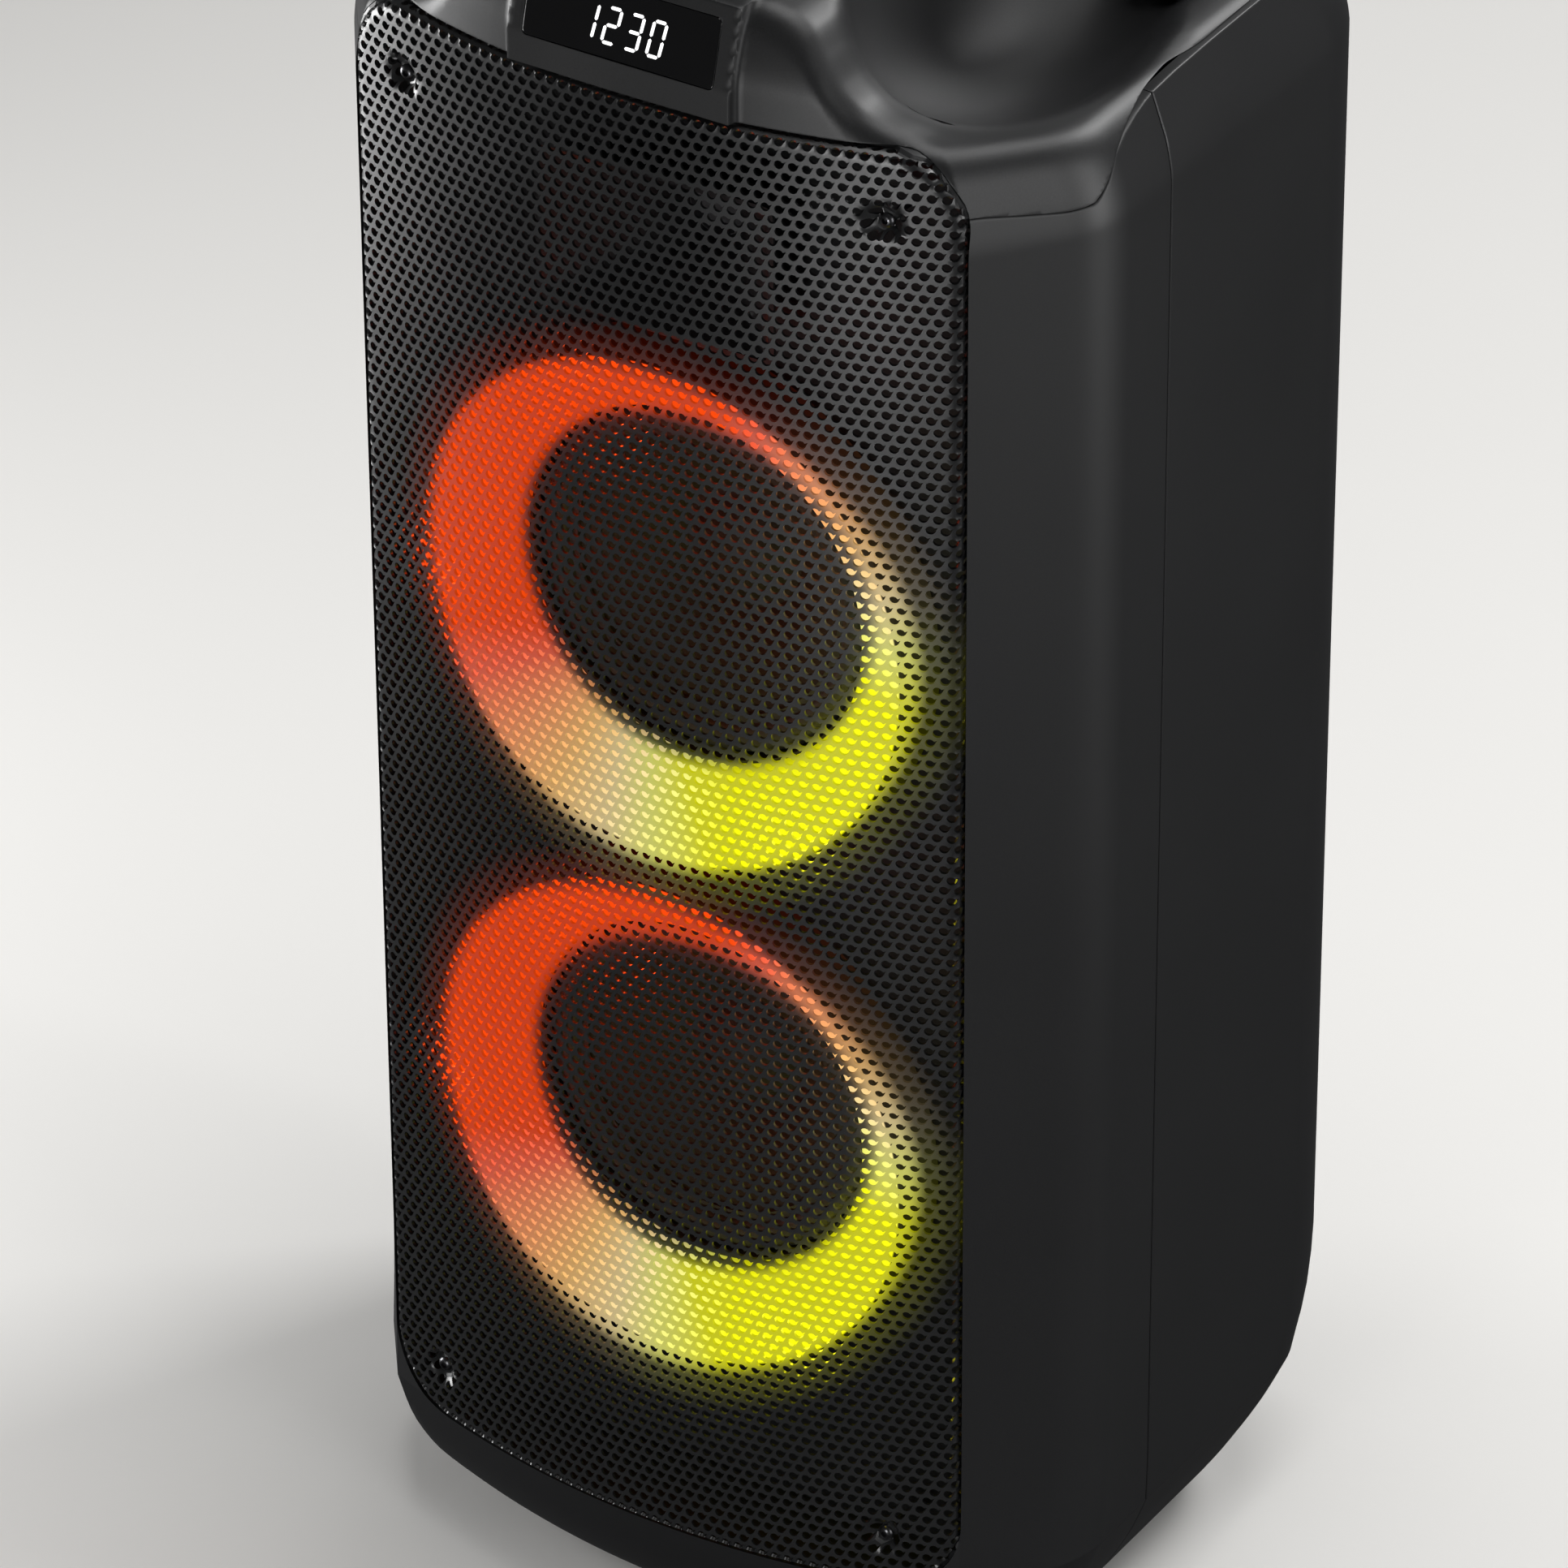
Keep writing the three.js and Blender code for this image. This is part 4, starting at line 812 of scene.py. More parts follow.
def surface_net(field, low, high, step):
    """The zero surface of a field as quads, with its points moved onto the exact surface."""
    axes = [np.arange(a, b + step, step) for a, b in zip(low, high)]
    shape = tuple(len(a) for a in axes)
    values = np.ones(shape)
    xy = np.stack(np.meshgrid(axes[0], axes[1], indexing="ij"), -1).reshape(-1, 2)
    for k, z in enumerate(axes[2]):
        slab = np.concatenate([xy, np.full((len(xy), 1), z)], 1)
        values[:, :, k] = field(slab).reshape(shape[:2])
    for axis in range(3):
        edge = [slice(None)] * 3
        for side in (0, -1):
            edge[axis] = side
            values[tuple(edge)] = np.maximum(values[tuple(edge)], 0.5)
    inside = values < 0
    cells = tuple(n - 1 for n in shape)
    total, count = np.zeros(cells + (3,)), np.zeros(cells)
    corner = [(i, j, k) for i in (0, 1) for j in (0, 1) for k in (0, 1)]

    def shifted(array, offset):
        return array[tuple(slice(o, o + n) for o, n in zip(offset, cells))]

    for a in corner:
        for axis in range(3):
            if a[axis]:
                continue
            b = tuple(v + (i == axis) for i, v in enumerate(a))
            va, vb = shifted(values, a), shifted(values, b)
            crosses = (va < 0) != (vb < 0)
            t = np.where(crosses, va / np.where(crosses, va - vb, 1), 0)
            for i in range(3):
                total[..., i] += np.where(crosses, a[i] + (t if i == axis else 0), 0)
            count += crosses
    used = count > 0
    number = np.full(cells, -1)
    number[used] = np.arange(used.sum())
    where = np.argwhere(used) + total[used] / count[used][:, None]
    verts = np.array(low) + where * step
    faces = []
    for axis in range(3):
        u, v = [i for i in range(3) if i != axis]
        a = inside[tuple(slice(0, -1) if i == axis else slice(1, -1) for i in range(3))]
        b = inside[tuple(slice(1, None) if i == axis else slice(1, -1) for i in range(3))]
        for cell in np.argwhere(a != b):
            base = [cell[i] if i == axis else cell[i] + 1 for i in range(3)]
            quad = []
            for du, dv in ((-1, -1), (0, -1), (0, 0), (-1, 0)):
                at = list(base)
                at[u] += du
                at[v] += dv
                quad.append(number[tuple(at)])
            faces.append(quad)
    for _ in range(2):
        value = field(verts)
        slope = np.stack([(field(verts + d) - value) / 0.05 for d in np.eye(3) * 0.05], 1)
        move = value[:, None] * slope / np.maximum((slope ** 2).sum(1), 0.05)[:, None]
        verts -= np.clip(move, -0.5, 0.5) * (verts[:, 2] > low[2] + 2 * step)[:, None]
    return verts, faces


def lean_back(obj):
    """Moves a shape made at the origin into the plane of the display window."""
    lift = Matrix.Translation((0, FACE_Y * MM, WINDOW_Z * MM))
    obj.data.transform(lift @ Matrix.Rotation(-WINDOW_TILT, 4, "X"))
    return obj


def window_block(name, grow, thickness, setback, radius):
    """A slab in the plane of the display window."""
    w, h = (81 + grow) / 2, 26.3 + grow
    outline = rounded_rect(-w, w, -grow / 2, h - grow / 2, radius)
    return lean_back(prism(name, outline, setback, setback + thickness))


CAP_UNDER_Z = SHOULDER_Z + 11
CAP_INNER_X = HALF_W - 20
CAP_GRID = 1.7


def top_cap():
    low, high = (-164, FRONT_Y - 5, SHOULDER_Z), (164, REAR_Y + 3, CONSOLE_Z + 5)
    verts, faces = surface_net(cap_field, low, high, CAP_GRID)
    cap = make("top_moulding", verts, faces)
    ys = np.linspace(-160, 160, 81)
    seam = [(y, cap_seam(y)) for y in ys] + [(160, SHOULDER_Z - 30), (-160, SHOULDER_Z - 30)]
    inside = rounded_rect(-CAP_INNER_X, CAP_INNER_X, BAFFLE_Y + BAFFLE_T + 1, REAR_Y - 34, 30)
    below = cut(prism("below", seam, -180, 180, "X"), prism("kept", inside, CAP_UNDER_Z, DECK_Z + 5, "Z"))
    cut(
        cap,
        below,
        pocket(),
        window_block("recess", 0.6, 5, -2, 2.3),
        block("well", -42, 42, -118, -26, SHOULDER_Z, CONSOLE_Z + 5),
    )
    piece(shade(soften(cap, 0.6, 2, 52), 40), CAP, ["top_cap"])


# ---- grille ----
HOLE_PITCH = 5.2
HOLE_R = 1.75
SHEET_T = 1.2
FOLD_R = 2.4
FLANGE = 9.0


def fold_grille(points):
    """Bends flat sheet points back over the rim, bows the face and dimples it at the screws."""
    x, z = points[:, 0], points[:, 1]
    r = GRILLE_CORNER_R - FOLD_R
    half_x = GRILLE_HALF_W - FOLD_R
    mid_z = (GRILLE_Z0 + GRILLE_Z1) / 2
    half_z = (GRILLE_Z1 - GRILLE_Z0) / 2 - FOLD_R
    qx = np.abs(x) - (half_x - r)
    qz = np.abs(z - mid_z) - (half_z - r)
    corner = (qx > 0) & (qz > 0)
    reach = np.hypot(np.maximum(qx, 0), np.maximum(qz, 0))
    over = np.where(corner, reach, np.maximum(qx, qz)) - r
    along_x = np.where(corner, qx / np.maximum(reach, 1e-9), (qx >= qz) * 1.0)
    along_z = np.where(corner, qz / np.maximum(reach, 1e-9), (qx < qz) * 1.0)
    past = np.maximum(over, 0)
    angle = np.minimum(past / FOLD_R, math.pi / 2)
    out = FOLD_R * np.sin(angle)
    back = FOLD_R * (1 - np.cos(angle)) + np.maximum(past - FOLD_R * math.pi / 2, 0)
    move = out - past
    fx = x + np.sign(x) * along_x * move
    fz = z + np.sign(z - mid_z) * along_z * move
    y = FRONT_Y + bow(fx) + back
    for sx in (-SCREW_X, SCREW_X):
        for sz in SCREW_Z:
            near = np.hypot(fx - sx, fz - sz)
            y += CUP_DEPTH * (1 - smoothstep((near - 3.6) / 4.2))
    return np.stack([fx, y, fz], 1)


def grille():
    """A staggered field of round holes, each in a six-sided cell, with the rim filled in round them."""
    grow = FOLD_R * (math.pi / 2 - 1) + FLANGE
    rows, cell = HOLE_PITCH * math.sqrt(3) / 2, HOLE_PITCH / math.sqrt(3)
    mid_z = (GRILLE_Z0 + GRILLE_Z1) / 2
    reach_x = GRILLE_HALF_W + grow - FLANGE + 1.5
    reach_z = (GRILLE_Z1 - GRILLE_Z0) / 2 + grow - FLANGE + 1.5
    r = GRILLE_CORNER_R + grow - FLANGE + 1.5
    verts, faces, corners, sides = [], [], {}, {}

    def corner(x, z):
        key = (round(x * 50), round(z * 50))
        if key not in corners:
            corners[key] = len(verts)
            verts.append((x, z))
        return corners[key]

    nz, nx = int(reach_z / rows) + 1, int(reach_x / HOLE_PITCH) + 2
    for j in range(-nz, nz + 1):
        for i in range(-nx, nx + 1):
            x = (i + (j % 2) / 2) * HOLE_PITCH
            z = mid_z + j * rows
            qx, qz = abs(x) - reach_x + r, abs(z - mid_z) - reach_z + r
            if math.hypot(max(qx, 0), max(qz, 0)) > r or max(qx, qz) > r:
                continue
            if min(math.hypot(abs(x) - SCREW_X, z - s) for s in SCREW_Z) < 4.0:
                continue
            hole = len(verts)
            for k in range(12):
                a = math.radians(30 * k)
                verts.append((x + HOLE_R * math.cos(a), z + HOLE_R * math.sin(a)))
            ring = []
            for k in range(6):
                a = math.radians(60 * k + 30)
                ring.append(corner(x + cell * math.cos(a), z + cell * math.sin(a)))
            for k in range(6):
                a, b = ring[k], ring[(k + 1) % 6]
                first = hole + 2 * k + 1
                faces.append([b, a, first, first + 1, hole + (2 * k + 3) % 12])
                sides[(a, b)] = sides.get((a, b), 0) + 1
    rim = [edge for edge in sides if (edge[1], edge[0]) not in sides]
    used = sorted({v for edge in rim for v in edge})
    local = {v: i for i, v in enumerate(used)}
    flat = [verts[v] for v in used]
    edges = [(local[a], local[b]) for a, b in rim]
    outlines = [grille_outline(grow, 20)]
    for sx in (-SCREW_X, SCREW_X):
        for sz in SCREW_Z:
            outlines.append(arc(sx, sz, 2.1, 0, 360, 16)[:-1])
    for outline in outlines:
        fine = []
        for (ax, az), (bx, bz) in zip(outline, outline[1:] + outline[:1]):
            steps = max(1, int(math.hypot(bx - ax, bz - az) / 5))
            fine += [(ax + (bx - ax) * t / steps, az + (bz - az) * t / steps) for t in range(steps)]
        start = len(flat)
        flat += fine
        edges += [(start + i, start + (i + 1) % len(fine)) for i in range(len(fine))]
    out = delaunay_2d_cdt([tuple(p) for p in flat], edges, [], 0, 1e-6)
    cdt_verts, cdt_faces = np.array([tuple(v) for v in out[0]]), out[2]
    centres = np.array([cdt_verts[list(f)].mean(0) for f in cdt_faces])
    keep = fill_mask(centres, verts, rim, grow)
    base = len(verts)
    verts += [tuple(v) for v in cdt_verts]
    faces += [[base + v for v in f] for f, k in zip(cdt_faces, keep) if k]
    sheet = make("perforated_grille", fold_grille(np.array(verts)), faces, tidy=False)
    work = bmesh.new()
    work.from_mesh(sheet.data)
    bmesh.ops.remove_doubles(work, verts=work.verts, dist=2e-5)
    work.to_mesh(sheet.data)
    work.free()
    step = sheet.modifiers.new("sheet", "SOLIDIFY")
    step.thickness = SHEET_T * MM
    step.offset = 1 if sheet_faces_back(sheet) else -1
    piece(shade(bake(sheet), 40), GRILLE, ["grille"])


def sheet_faces_back(sheet):
    """True if the sheet's normals point to the rear."""
    middle = min(sheet.data.polygons, key=lambda f: abs(f.center.x) + abs(f.center.z - 0.35))
    return middle.normal.y > 0


def fill_mask(centres, verts, rim, grow):
    """Which fill triangles are sheet: outside the cells, inside the outline, clear of the screws."""
    segments = np.array([[verts[a], verts[b]] for a, b in rim])
    (ax, az), (bx, bz) = segments[:, 0].T, segments[:, 1].T
    crossings = np.zeros(len(centres), int)
    for i, (x, z) in enumerate(centres):
        spans = (az > z) != (bz > z)
        at = ax[spans] + (z - az[spans]) / (bz[spans] - az[spans]) * (bx[spans] - ax[spans])
        crossings[i] = (at > x).sum()
    outside = crossings % 2 == 0
    x, z = np.abs(centres[:, 0]), centres[:, 1]
    for sz in SCREW_Z:
        outside &= np.hypot(x - SCREW_X, z - sz) > 2.05
    mid_z = (GRILLE_Z0 + GRILLE_Z1) / 2
    r = GRILLE_CORNER_R + grow
    qx = x - (GRILLE_HALF_W + grow - r)
    qz = np.abs(z - mid_z) - ((GRILLE_Z1 - GRILLE_Z0) / 2 + grow - r)
    reach = np.hypot(np.maximum(qx, 0), np.maximum(qz, 0))
    return outside & (reach < r) & (np.maximum(qx, qz) < r)


def grille_screw(number, x, z):
    y = FRONT_Y + bow(SCREW_X) + CUP_DEPTH - 0.3
    profile = turn_profile([(0, y - 2.4), (1.6, y - 2.2), (2.7, y - 1.5), (3.2, y - 0.5), (3.2, y - 0.05)], 3)
    profile += [(1.5, y), (1.5, y + 14), (0, y + 15)]
    screw = lathe(f"grille_screw_head_{number}", profile, x, 0, z, "Y", 32)
    cut(screw, prism("socket", arc(x, z, 1.35, 0, 360, 6)[:-1], y - 5, y - 1.0))
    piece(shade(screw, 30), SCREW, [f"grille_screw_{number}"])


# ---- rings and drivers ----
def turned(name, profile, z, segments, material, node, body="cabinet"):
    """A finished piece turned about the front-to-back line at height z."""
    piece(shade(lathe(name, profile, 0, 0, z, "Y", segments), 40), material, [node], body)


def light_ring(where, z):
    back = BAFFLE_Y - 0.3
    rim = RING_Y - 0.5
    slope = [(THROAT_R + 1.6, back - 4), (84, back - 10.5), (95, back - 17.5)]
    profile = turn_profile([(THROAT_R, back)] + slope + [(RING_R - 0.6, rim)], 6)
    profile += [(RING_R + 0.6, rim - 0.3), (RING_R + 2, rim + 0.6), (RING_R + 2, back), (78, back)]
    glow = diffuser_finish(f"{where}_ring_light", z)
    turned(f"{where}_diffuser", profile, z, 160, glow, f"{where}_light_ring")


def woofer(where, z):
    body = f"{where}_cone"
    y = CONE_Y
    face = turn_profile([(60.8, y + 0.2), (50, y + 5.4), (38, y + 13.6), (27, y + 23.5), (17.5, y + 33.2)], 8)
    back = [(r, h + 1.4) for r, h in reversed(face)]
    profile = face + [(16, y + 34), (16, y + 68), (17, y + 68)] + back
    turned(f"{where}_paper_cone", profile, z, 128, PAPER, f"{where}_woofer_cone", body)
    dome = turn_profile([(0, y + 17.6), (9, y + 18.7), (17, y + 21.6), (22.5, y + 24.8), (25.4, y + 25.0)], 6)
    under = [(r, h + 0.9) for r, h in reversed(dome)]
    turned(f"{where}_dome", dome + under, z, 96, PAPER, f"{where}_dust_cap", body)
    edge = y - 0.3
    lip = [(57.5, edge - 0.6), (60.6, edge - 0.8)]
    roll = [(66.6 + 5.6 * math.cos(a), edge - 0.9 - 4.9 * math.sin(a)) for a in np.linspace(math.pi, 0, 17)]
    roll = lip + roll + [(72.6, edge - 0.9), (72.6, edge), (71.6, edge)]
    inner = [(66.6 + 4.8 * math.cos(a), edge - 0.1 - 4.7 * math.sin(a)) for a in np.linspace(0, math.pi, 17)]
    profile = roll + inner + [(57.5, edge)]
    turned(f"{where}_rubber_roll", profile, z, 128, RUBBER, f"{where}_surround", body)


def horn_row(w, h, y, radius):
    return [(x, y, HORN_Z + z) for x, z in rounded_rect(-w / 2, w / 2, -h / 2, h / 2, radius, 5)]


def horn():
    """A rectangular flare that opens smoothly to its mouth, with a plain flange."""
    y0, y1 = RING_Y, RING_Y + 42
    (mouth_w, mouth_h), throat = (98, 61), 24
    rows = []
    for t in np.linspace(0, 1, 14):
        open_ = (1 - t) ** 1.35
        w, h = throat + (mouth_w - throat) * open_, throat + (mouth_h - throat) * open_
        radius = 3 + (min(w, h) / 2 - 4) * t ** 2
        rows.append(horn_row(w, h, y0 + (y1 - y0) * t, radius))
    outside = [(throat + 6, throat + 6, y1)]
    outside += [(mouth_w + 4, mouth_h + 4, y0 + 2), (mouth_w + 5, mouth_h + 5, y0)]
    rows += [horn_row(w, h, y, 4) for w, h, y in outside]
    flare = make("horn_waveguide", np.array(rows).reshape(-1, 3), bands(len(rows), len(rows[0]), True))
    piece(shade(flare, 35), HORN, ["horn_flare"])


# ---- display ----
SEGMENTS = {"0": "abcdef", "1": "bc", "2": "abdeg", "3": "abcdg"}


def digit_bars(character, w, h, t):
    """Outlines of one seven-segment numeral, w wide and h tall, with bars t thick."""
    half = h / 2
    bars = {
        "a": ((0, h), (w, h)), "g": ((0, half), (w, half)), "d": ((0, 0), (w, 0)), "f": ((0, half), (0, h)),
        "b": ((w, half), (w, h)), "e": ((0, 0), (0, half)), "c": ((w, 0), (w, half)),
    }
    outlines = []
    for key in SEGMENTS[character]:
        (ax, az), (bx, bz) = bars[key]
        length = math.hypot(bx - ax, bz - az)
        ux, uz = (bx - ax) / length, (bz - az) / length
        upper = [(0.35, 0), (0.9, t / 2), (length - 0.9, t / 2)]
        lower = [(length - 0.35, 0), (length - 0.9, -t / 2), (0.9, -t / 2)]
        outlines.append([(ax + ux * s - uz * v, az + uz * s + ux * v) for s, v in upper + lower])
    return outlines


def display():
    window = window_block("display_glass", 0, 2, 0, 2)
    piece(rounded(window, 0.35), WINDOW, ["display_window"])
    w, h, gap, slant = 5.2, 13.0, 4.3, math.tan(math.radians(8))
    text = "1230"
    start = -(len(text) * w + (len(text) - 1) * gap) / 2
    parts = []
    for i, character in enumerate(text):
        for outline in digit_bars(character, w, h, 1.25):
            shifted = [(start + i * (w + gap) + a + slant * b, 5.6 + b) for a, b in outline]
            parts.append(prism("bar", shifted, -0.06, 0.0))
    digits = join(*parts)
    digits.name = "display_digits"
    piece(lean_back(digits), WHITE_LIGHT)


# ---- console ----
def console_icon(name, x, y, z):
    """Plain symbols in the top face of each key."""
    def slab(points):
        return prism("icon", [(x + a, y + b) for a, b in points], z - 0.05, z + 0.06, "Z")

    def triangle(cx, size, way=1):
        return slab([(cx - way * size, -size), (cx + way * size, 0), (cx - way * size, size)][::way])

    def bar(cx, w=0.35, h=1.5):
        return slab([(cx - w, -h), (cx + w, -h), (cx + w, h), (cx - w, h)])

    def ring_part(start, end, r=1.5, w=0.4):
        return slab(arc(0, 0, r, start, end, 16) + arc(0, 0, r - w, end, start, 16))

    def ray(turn):
        c, s = math.cos(turn), math.sin(turn)
        ends_at = ((2, 0.15), (2, -0.15), (2.8, -0.15), (2.8, 0.15))
        return slab([(c * r - s * w, s * r + c * w) for r, w in ends_at])

    icons = {
        "previous": lambda: [triangle(1.0, 1.1, -1), triangle(-1.0, 1.1, -1), bar(-2.4, 0.25, 1.1)],
        "play_pause": lambda: [triangle(-1.6, 1.2), bar(0.9), bar(2.3)],
        "next": lambda: [triangle(-1.0, 1.1), triangle(1.0, 1.1), bar(2.4, 0.25, 1.1)],
        "bass_boost": lambda: [bar(1.2 * k - 2.4, 0.3, h) for k, h in enumerate((0.7, 1.7, 1.0, 1.5, 0.5))],
        "light_mode": lambda: [ring_part(0, 359)] + [ray(a) for a in np.radians(np.arange(0, 360, 45))],
        "power": lambda: [ring_part(120, 420), bar(0, 0.2, 0.9)],
        "source": lambda: [ring_part(20, 160, 1.7), ring_part(200, 340, 1.7), triangle(0, 0.5)],
    }
    icon = join(*icons[name]())
    icon.name = f"{name}_symbol"
    return icon


KEYS = ("previous", "play_pause", "next", "bass_boost", "light_mode", "power", "source")


def key_outline(low, high, grow):
    return rounded_rect(low[0] - grow, high[0] + grow, low[1] - grow, high[1] + grow, 2.5 + grow, 5)


def console():
    low, high = cad("control_panel")
    outline = rounded_rect(low[0], high[0], low[1], high[1], 8, 8)
    panel = prism("control_fascia", outline, low[2], high[2], "Z")
    knob_x, knob_y, _ = centre("volume_knob")
    shaft = [(0, low[2] - 2), (3.6, low[2] - 2), (3.6, high[2] + 2), (0, high[2] + 2)]
    tools = [lathe("shaft_hole", shaft, knob_x, knob_y, 0, "Z", 32)]
    dished = [(0, high[2] - 0.6), (19.2, high[2] - 0.6), (19.2, high[2] + 2), (0, high[2] + 2)]
    tools.append(lathe("knob_dish", dished, knob_x, knob_y, 0, "Z", 64))
    for key in KEYS:
        a, b = cad(f"button_{key}")
        tools.append(prism("key_hole", key_outline(a, b, 0.4), low[2] - 2, high[2] + 2, "Z"))
    piece(rounded(cut(panel, *tools), 0.7), GLOSS, ["control_panel"])
    for key in KEYS:
        a, b = cad(f"button_{key}")
        cap = prism(f"{key}_key", key_outline(a, b, 0), CONSOLE_Z - 1, b[2], "Z")
        soften(cap, 0.8, 4)
        x, y, _ = (a + b) / 2
        stem = [(0, a[2]), (2, a[2]), (2, CONSOLE_Z - 1), (0, CONSOLE_Z - 1)]
        join(cap, lathe("stem", stem, x, y, 0, "Z", 20))
        piece(even_normals(shade(cap)), KEY, [f"button_{key}"], f"button_{key}")
        piece(console_icon(key, x, y, b[2]), PRINT, (), f"button_{key}")
    volume_knob(knob_x, knob_y)


def grooved_knob(name, rows, teeth, segments, put):
    """A knob turned from rows of (radius, height, groove depth), with its grooves round the side."""
    verts = []
    for r, h, depth in rows:
        for k in range(segments):
            a = 2 * math.pi * k / segments
            q = r - depth * (0.5 - 0.5 * math.cos(teeth * a)) ** 2
            verts.append(put(q * math.cos(a), q * math.sin(a), h))
    knob = make(name, verts, bands(len(rows), segments) + ends(len(rows), segments))
    return shade(knob, 35)


def volume_knob(x, y):
    """A turned knob with fine grooves round its side and one line on its top."""
    low, high = cad("volume_knob")
    r, z0, z1 = 17.0, high[2] - 13, high[2]
    side = [(r - 0.6, z0), (r, z0 + 1), (r, z1 - 3.5), (r - 1.6, z1 - 0.8)]
    top = [(r - 4, z1), (r - 6, z1 - 1.2), (5, z1 - 1.9), (0, z1 - 2)]
    rows = []
    for q, h in [(3, low[2]), (3, z0)] + turn_profile(side + top, 4)[:-1]:
        grip = smoothstep((h - z0 - 1.2) / 1.2) * smoothstep((z1 - 2.6 - h) / 1.2) if q > r - 0.9 else 0
        rows.append((q, h, 0.45 * grip))
    knob = grooved_knob("volume_dial", rows, 60, 240, lambda a, b, h: (x + a, y + b, h))
    piece(knob, KNOB, ["volume_knob"], "volume_knob")
    line = rounded_rect(x - 0.7, x + 0.7, y - r + 5.6, y - r + 11, 0.6, 4)
    mark = prism("volume_dial_line", line, z1 - 1.75, z1 - 0.75, "Z")
    piece(mark, PRINT, (), "volume_knob")


# ---- carry handle ----
def handle():
    low, high = cad("carry_handle")
    w, z0, z1 = high[0], low[2], high[2]
    inner, under = w - 26, z1 - 22
    outline = [(w, z0)] + arc(w - 24, z1 - 24, 24, 0, 90, 10) + arc(-w + 24, z1 - 24, 24, 90, 180, 10)
    outline += [(-w, z0), (-inner, z0)] + arc(-inner + 14, under - 14, 14, 180, 90, 8)
    outline += arc(inner - 14, under - 14, 14, 90, 0, 8) + [(inner, z0)]
    bar = shade(soften(prism("handle_moulding", outline, low[1], high[1]), 6, 5, 60), 40)
    piece(even_normals(bar), BODY, ["carry_handle"])
    a, b = cad("handle_grip")
    grip = prism("handle_grip_pad", rounded_rect(a[0], b[0], a[1], b[1], 6, 6), a[2], b[2], "Z")
    grooves = []
    for x in np.arange(a[0] + 8, b[0] - 6, 5):
        outline = rounded_rect(x - 1, x + 1, a[1] + 4, b[1] - 4, 0.9, 3)
        grooves.append(prism("groove", outline, a[2] - 1, a[2] + 1.1, "Z"))
    piece(shade(soften(cut(grip, *grooves), 0.4, 2)), RUBBER, ["handle_grip"])


# ---- rear ----
def port():
    y, r = REAR_Y - 0.5, 30
    turns = np.linspace(0, math.pi / 2, 12)
    flare = [(r + 2.2 + 8.4 * (1 - math.cos(a)), y - 14 + 14 * math.sin(a)) for a in turns]
    profile = [(r, y - 85), (r, y - 40)] + [(q - 2.2, h) for q, h in flare]
    profile += [(r + 9.6, y + 0.3), (r + 10.4, y), (r + 10.6, y - 1.5), (r + 10.6, REAR_Y - WALL - 0.6)]
    profile += [(r + 14, REAR_Y - WALL - 0.8), (r + 14, y - 7.5), (r + 3, y - 16), (r + 3, y - 85)]
    tube = lathe("bass_port", profile, 0, 0, PORT_Z, "Y", 128)
    piece(shade(tube, 35), HORN, ["port_tube"])


def tray():
    """The recessed rear panel with its cut-outs."""
    low, high = cad("input_panel")
    panel = prism("input_tray", rounded_rect(low[0], high[0], low[2], high[2], 8, 6), low[1], high[1])
    inner = rounded_rect(-74.6, 74.6, TRAY_Z - 49.6, TRAY_Z + 49.6, 8, 8)
    cut(panel, prism("room", inner, TRAY_FLOOR_Y, REAR_Y + 5))
    tools = []
    start, end = TRAY_FLOOR_Y - 6, TRAY_FLOOR_Y + 2
    bores = [("mic_jack", 7.3), ("guitar_jack", 7.3), ("aux_jack", 4.3)]
    bores += [("mic_volume_knob", 3.4), ("guitar_volume_knob", 3.4)]
    for name, r in bores:
        x, _, z = centre(name)
        tools.append(rod("hole", x, z, r, start, end, 32))
    for name, w, h in (("usb_socket", 14, 7), ("switch_body", 14, 22), ("power_inlet", 23, 16)):
        x, _, z = centre(name)
        tools.append(block("slot", x - w / 2, x + w / 2, start, end, z - h / 2, z + h / 2))
    piece(rounded(cut(panel, *tools), 0.5, 2), CAP, ["input_panel"])
    tray_print()


def tray_print():
    """A thin border, and the scale and lead line of each volume knob."""
    start, end = TRAY_FLOOR_Y - 0.05, TRAY_FLOOR_Y + 0.04
    marks = []
    for name in ("mic_jack", "guitar_jack"):
        x, _, z = centre(name)
        marks.append(block("line", x - 0.3, x + 0.3, start, end, z - 26, z - 12))
        for angle in range(-150, 151, 30):
            s, c = math.sin(math.radians(angle)), math.cos(math.radians(angle))
            dot = arc(x + 10.5 * s, z - 36 + 10.5 * c, 0.45, 0, 360, 8)[:-1]
            marks.append(prism("dot", dot, start, end))
    outer = rounded_rect(-71, 71, TRAY_Z - 46, TRAY_Z + 46, 6, 6)
    inner = rounded_rect(-70.5, 70.5, TRAY_Z - 45.5, TRAY_Z + 45.5, 5.6, 6)
    line = cut(prism("border", outer, start, end), prism("inside", inner, TRAY_FLOOR_Y - 1, TRAY_FLOOR_Y + 1))
    line.name = "input_tray_print"
    piece(join(line, *marks), PRINT)


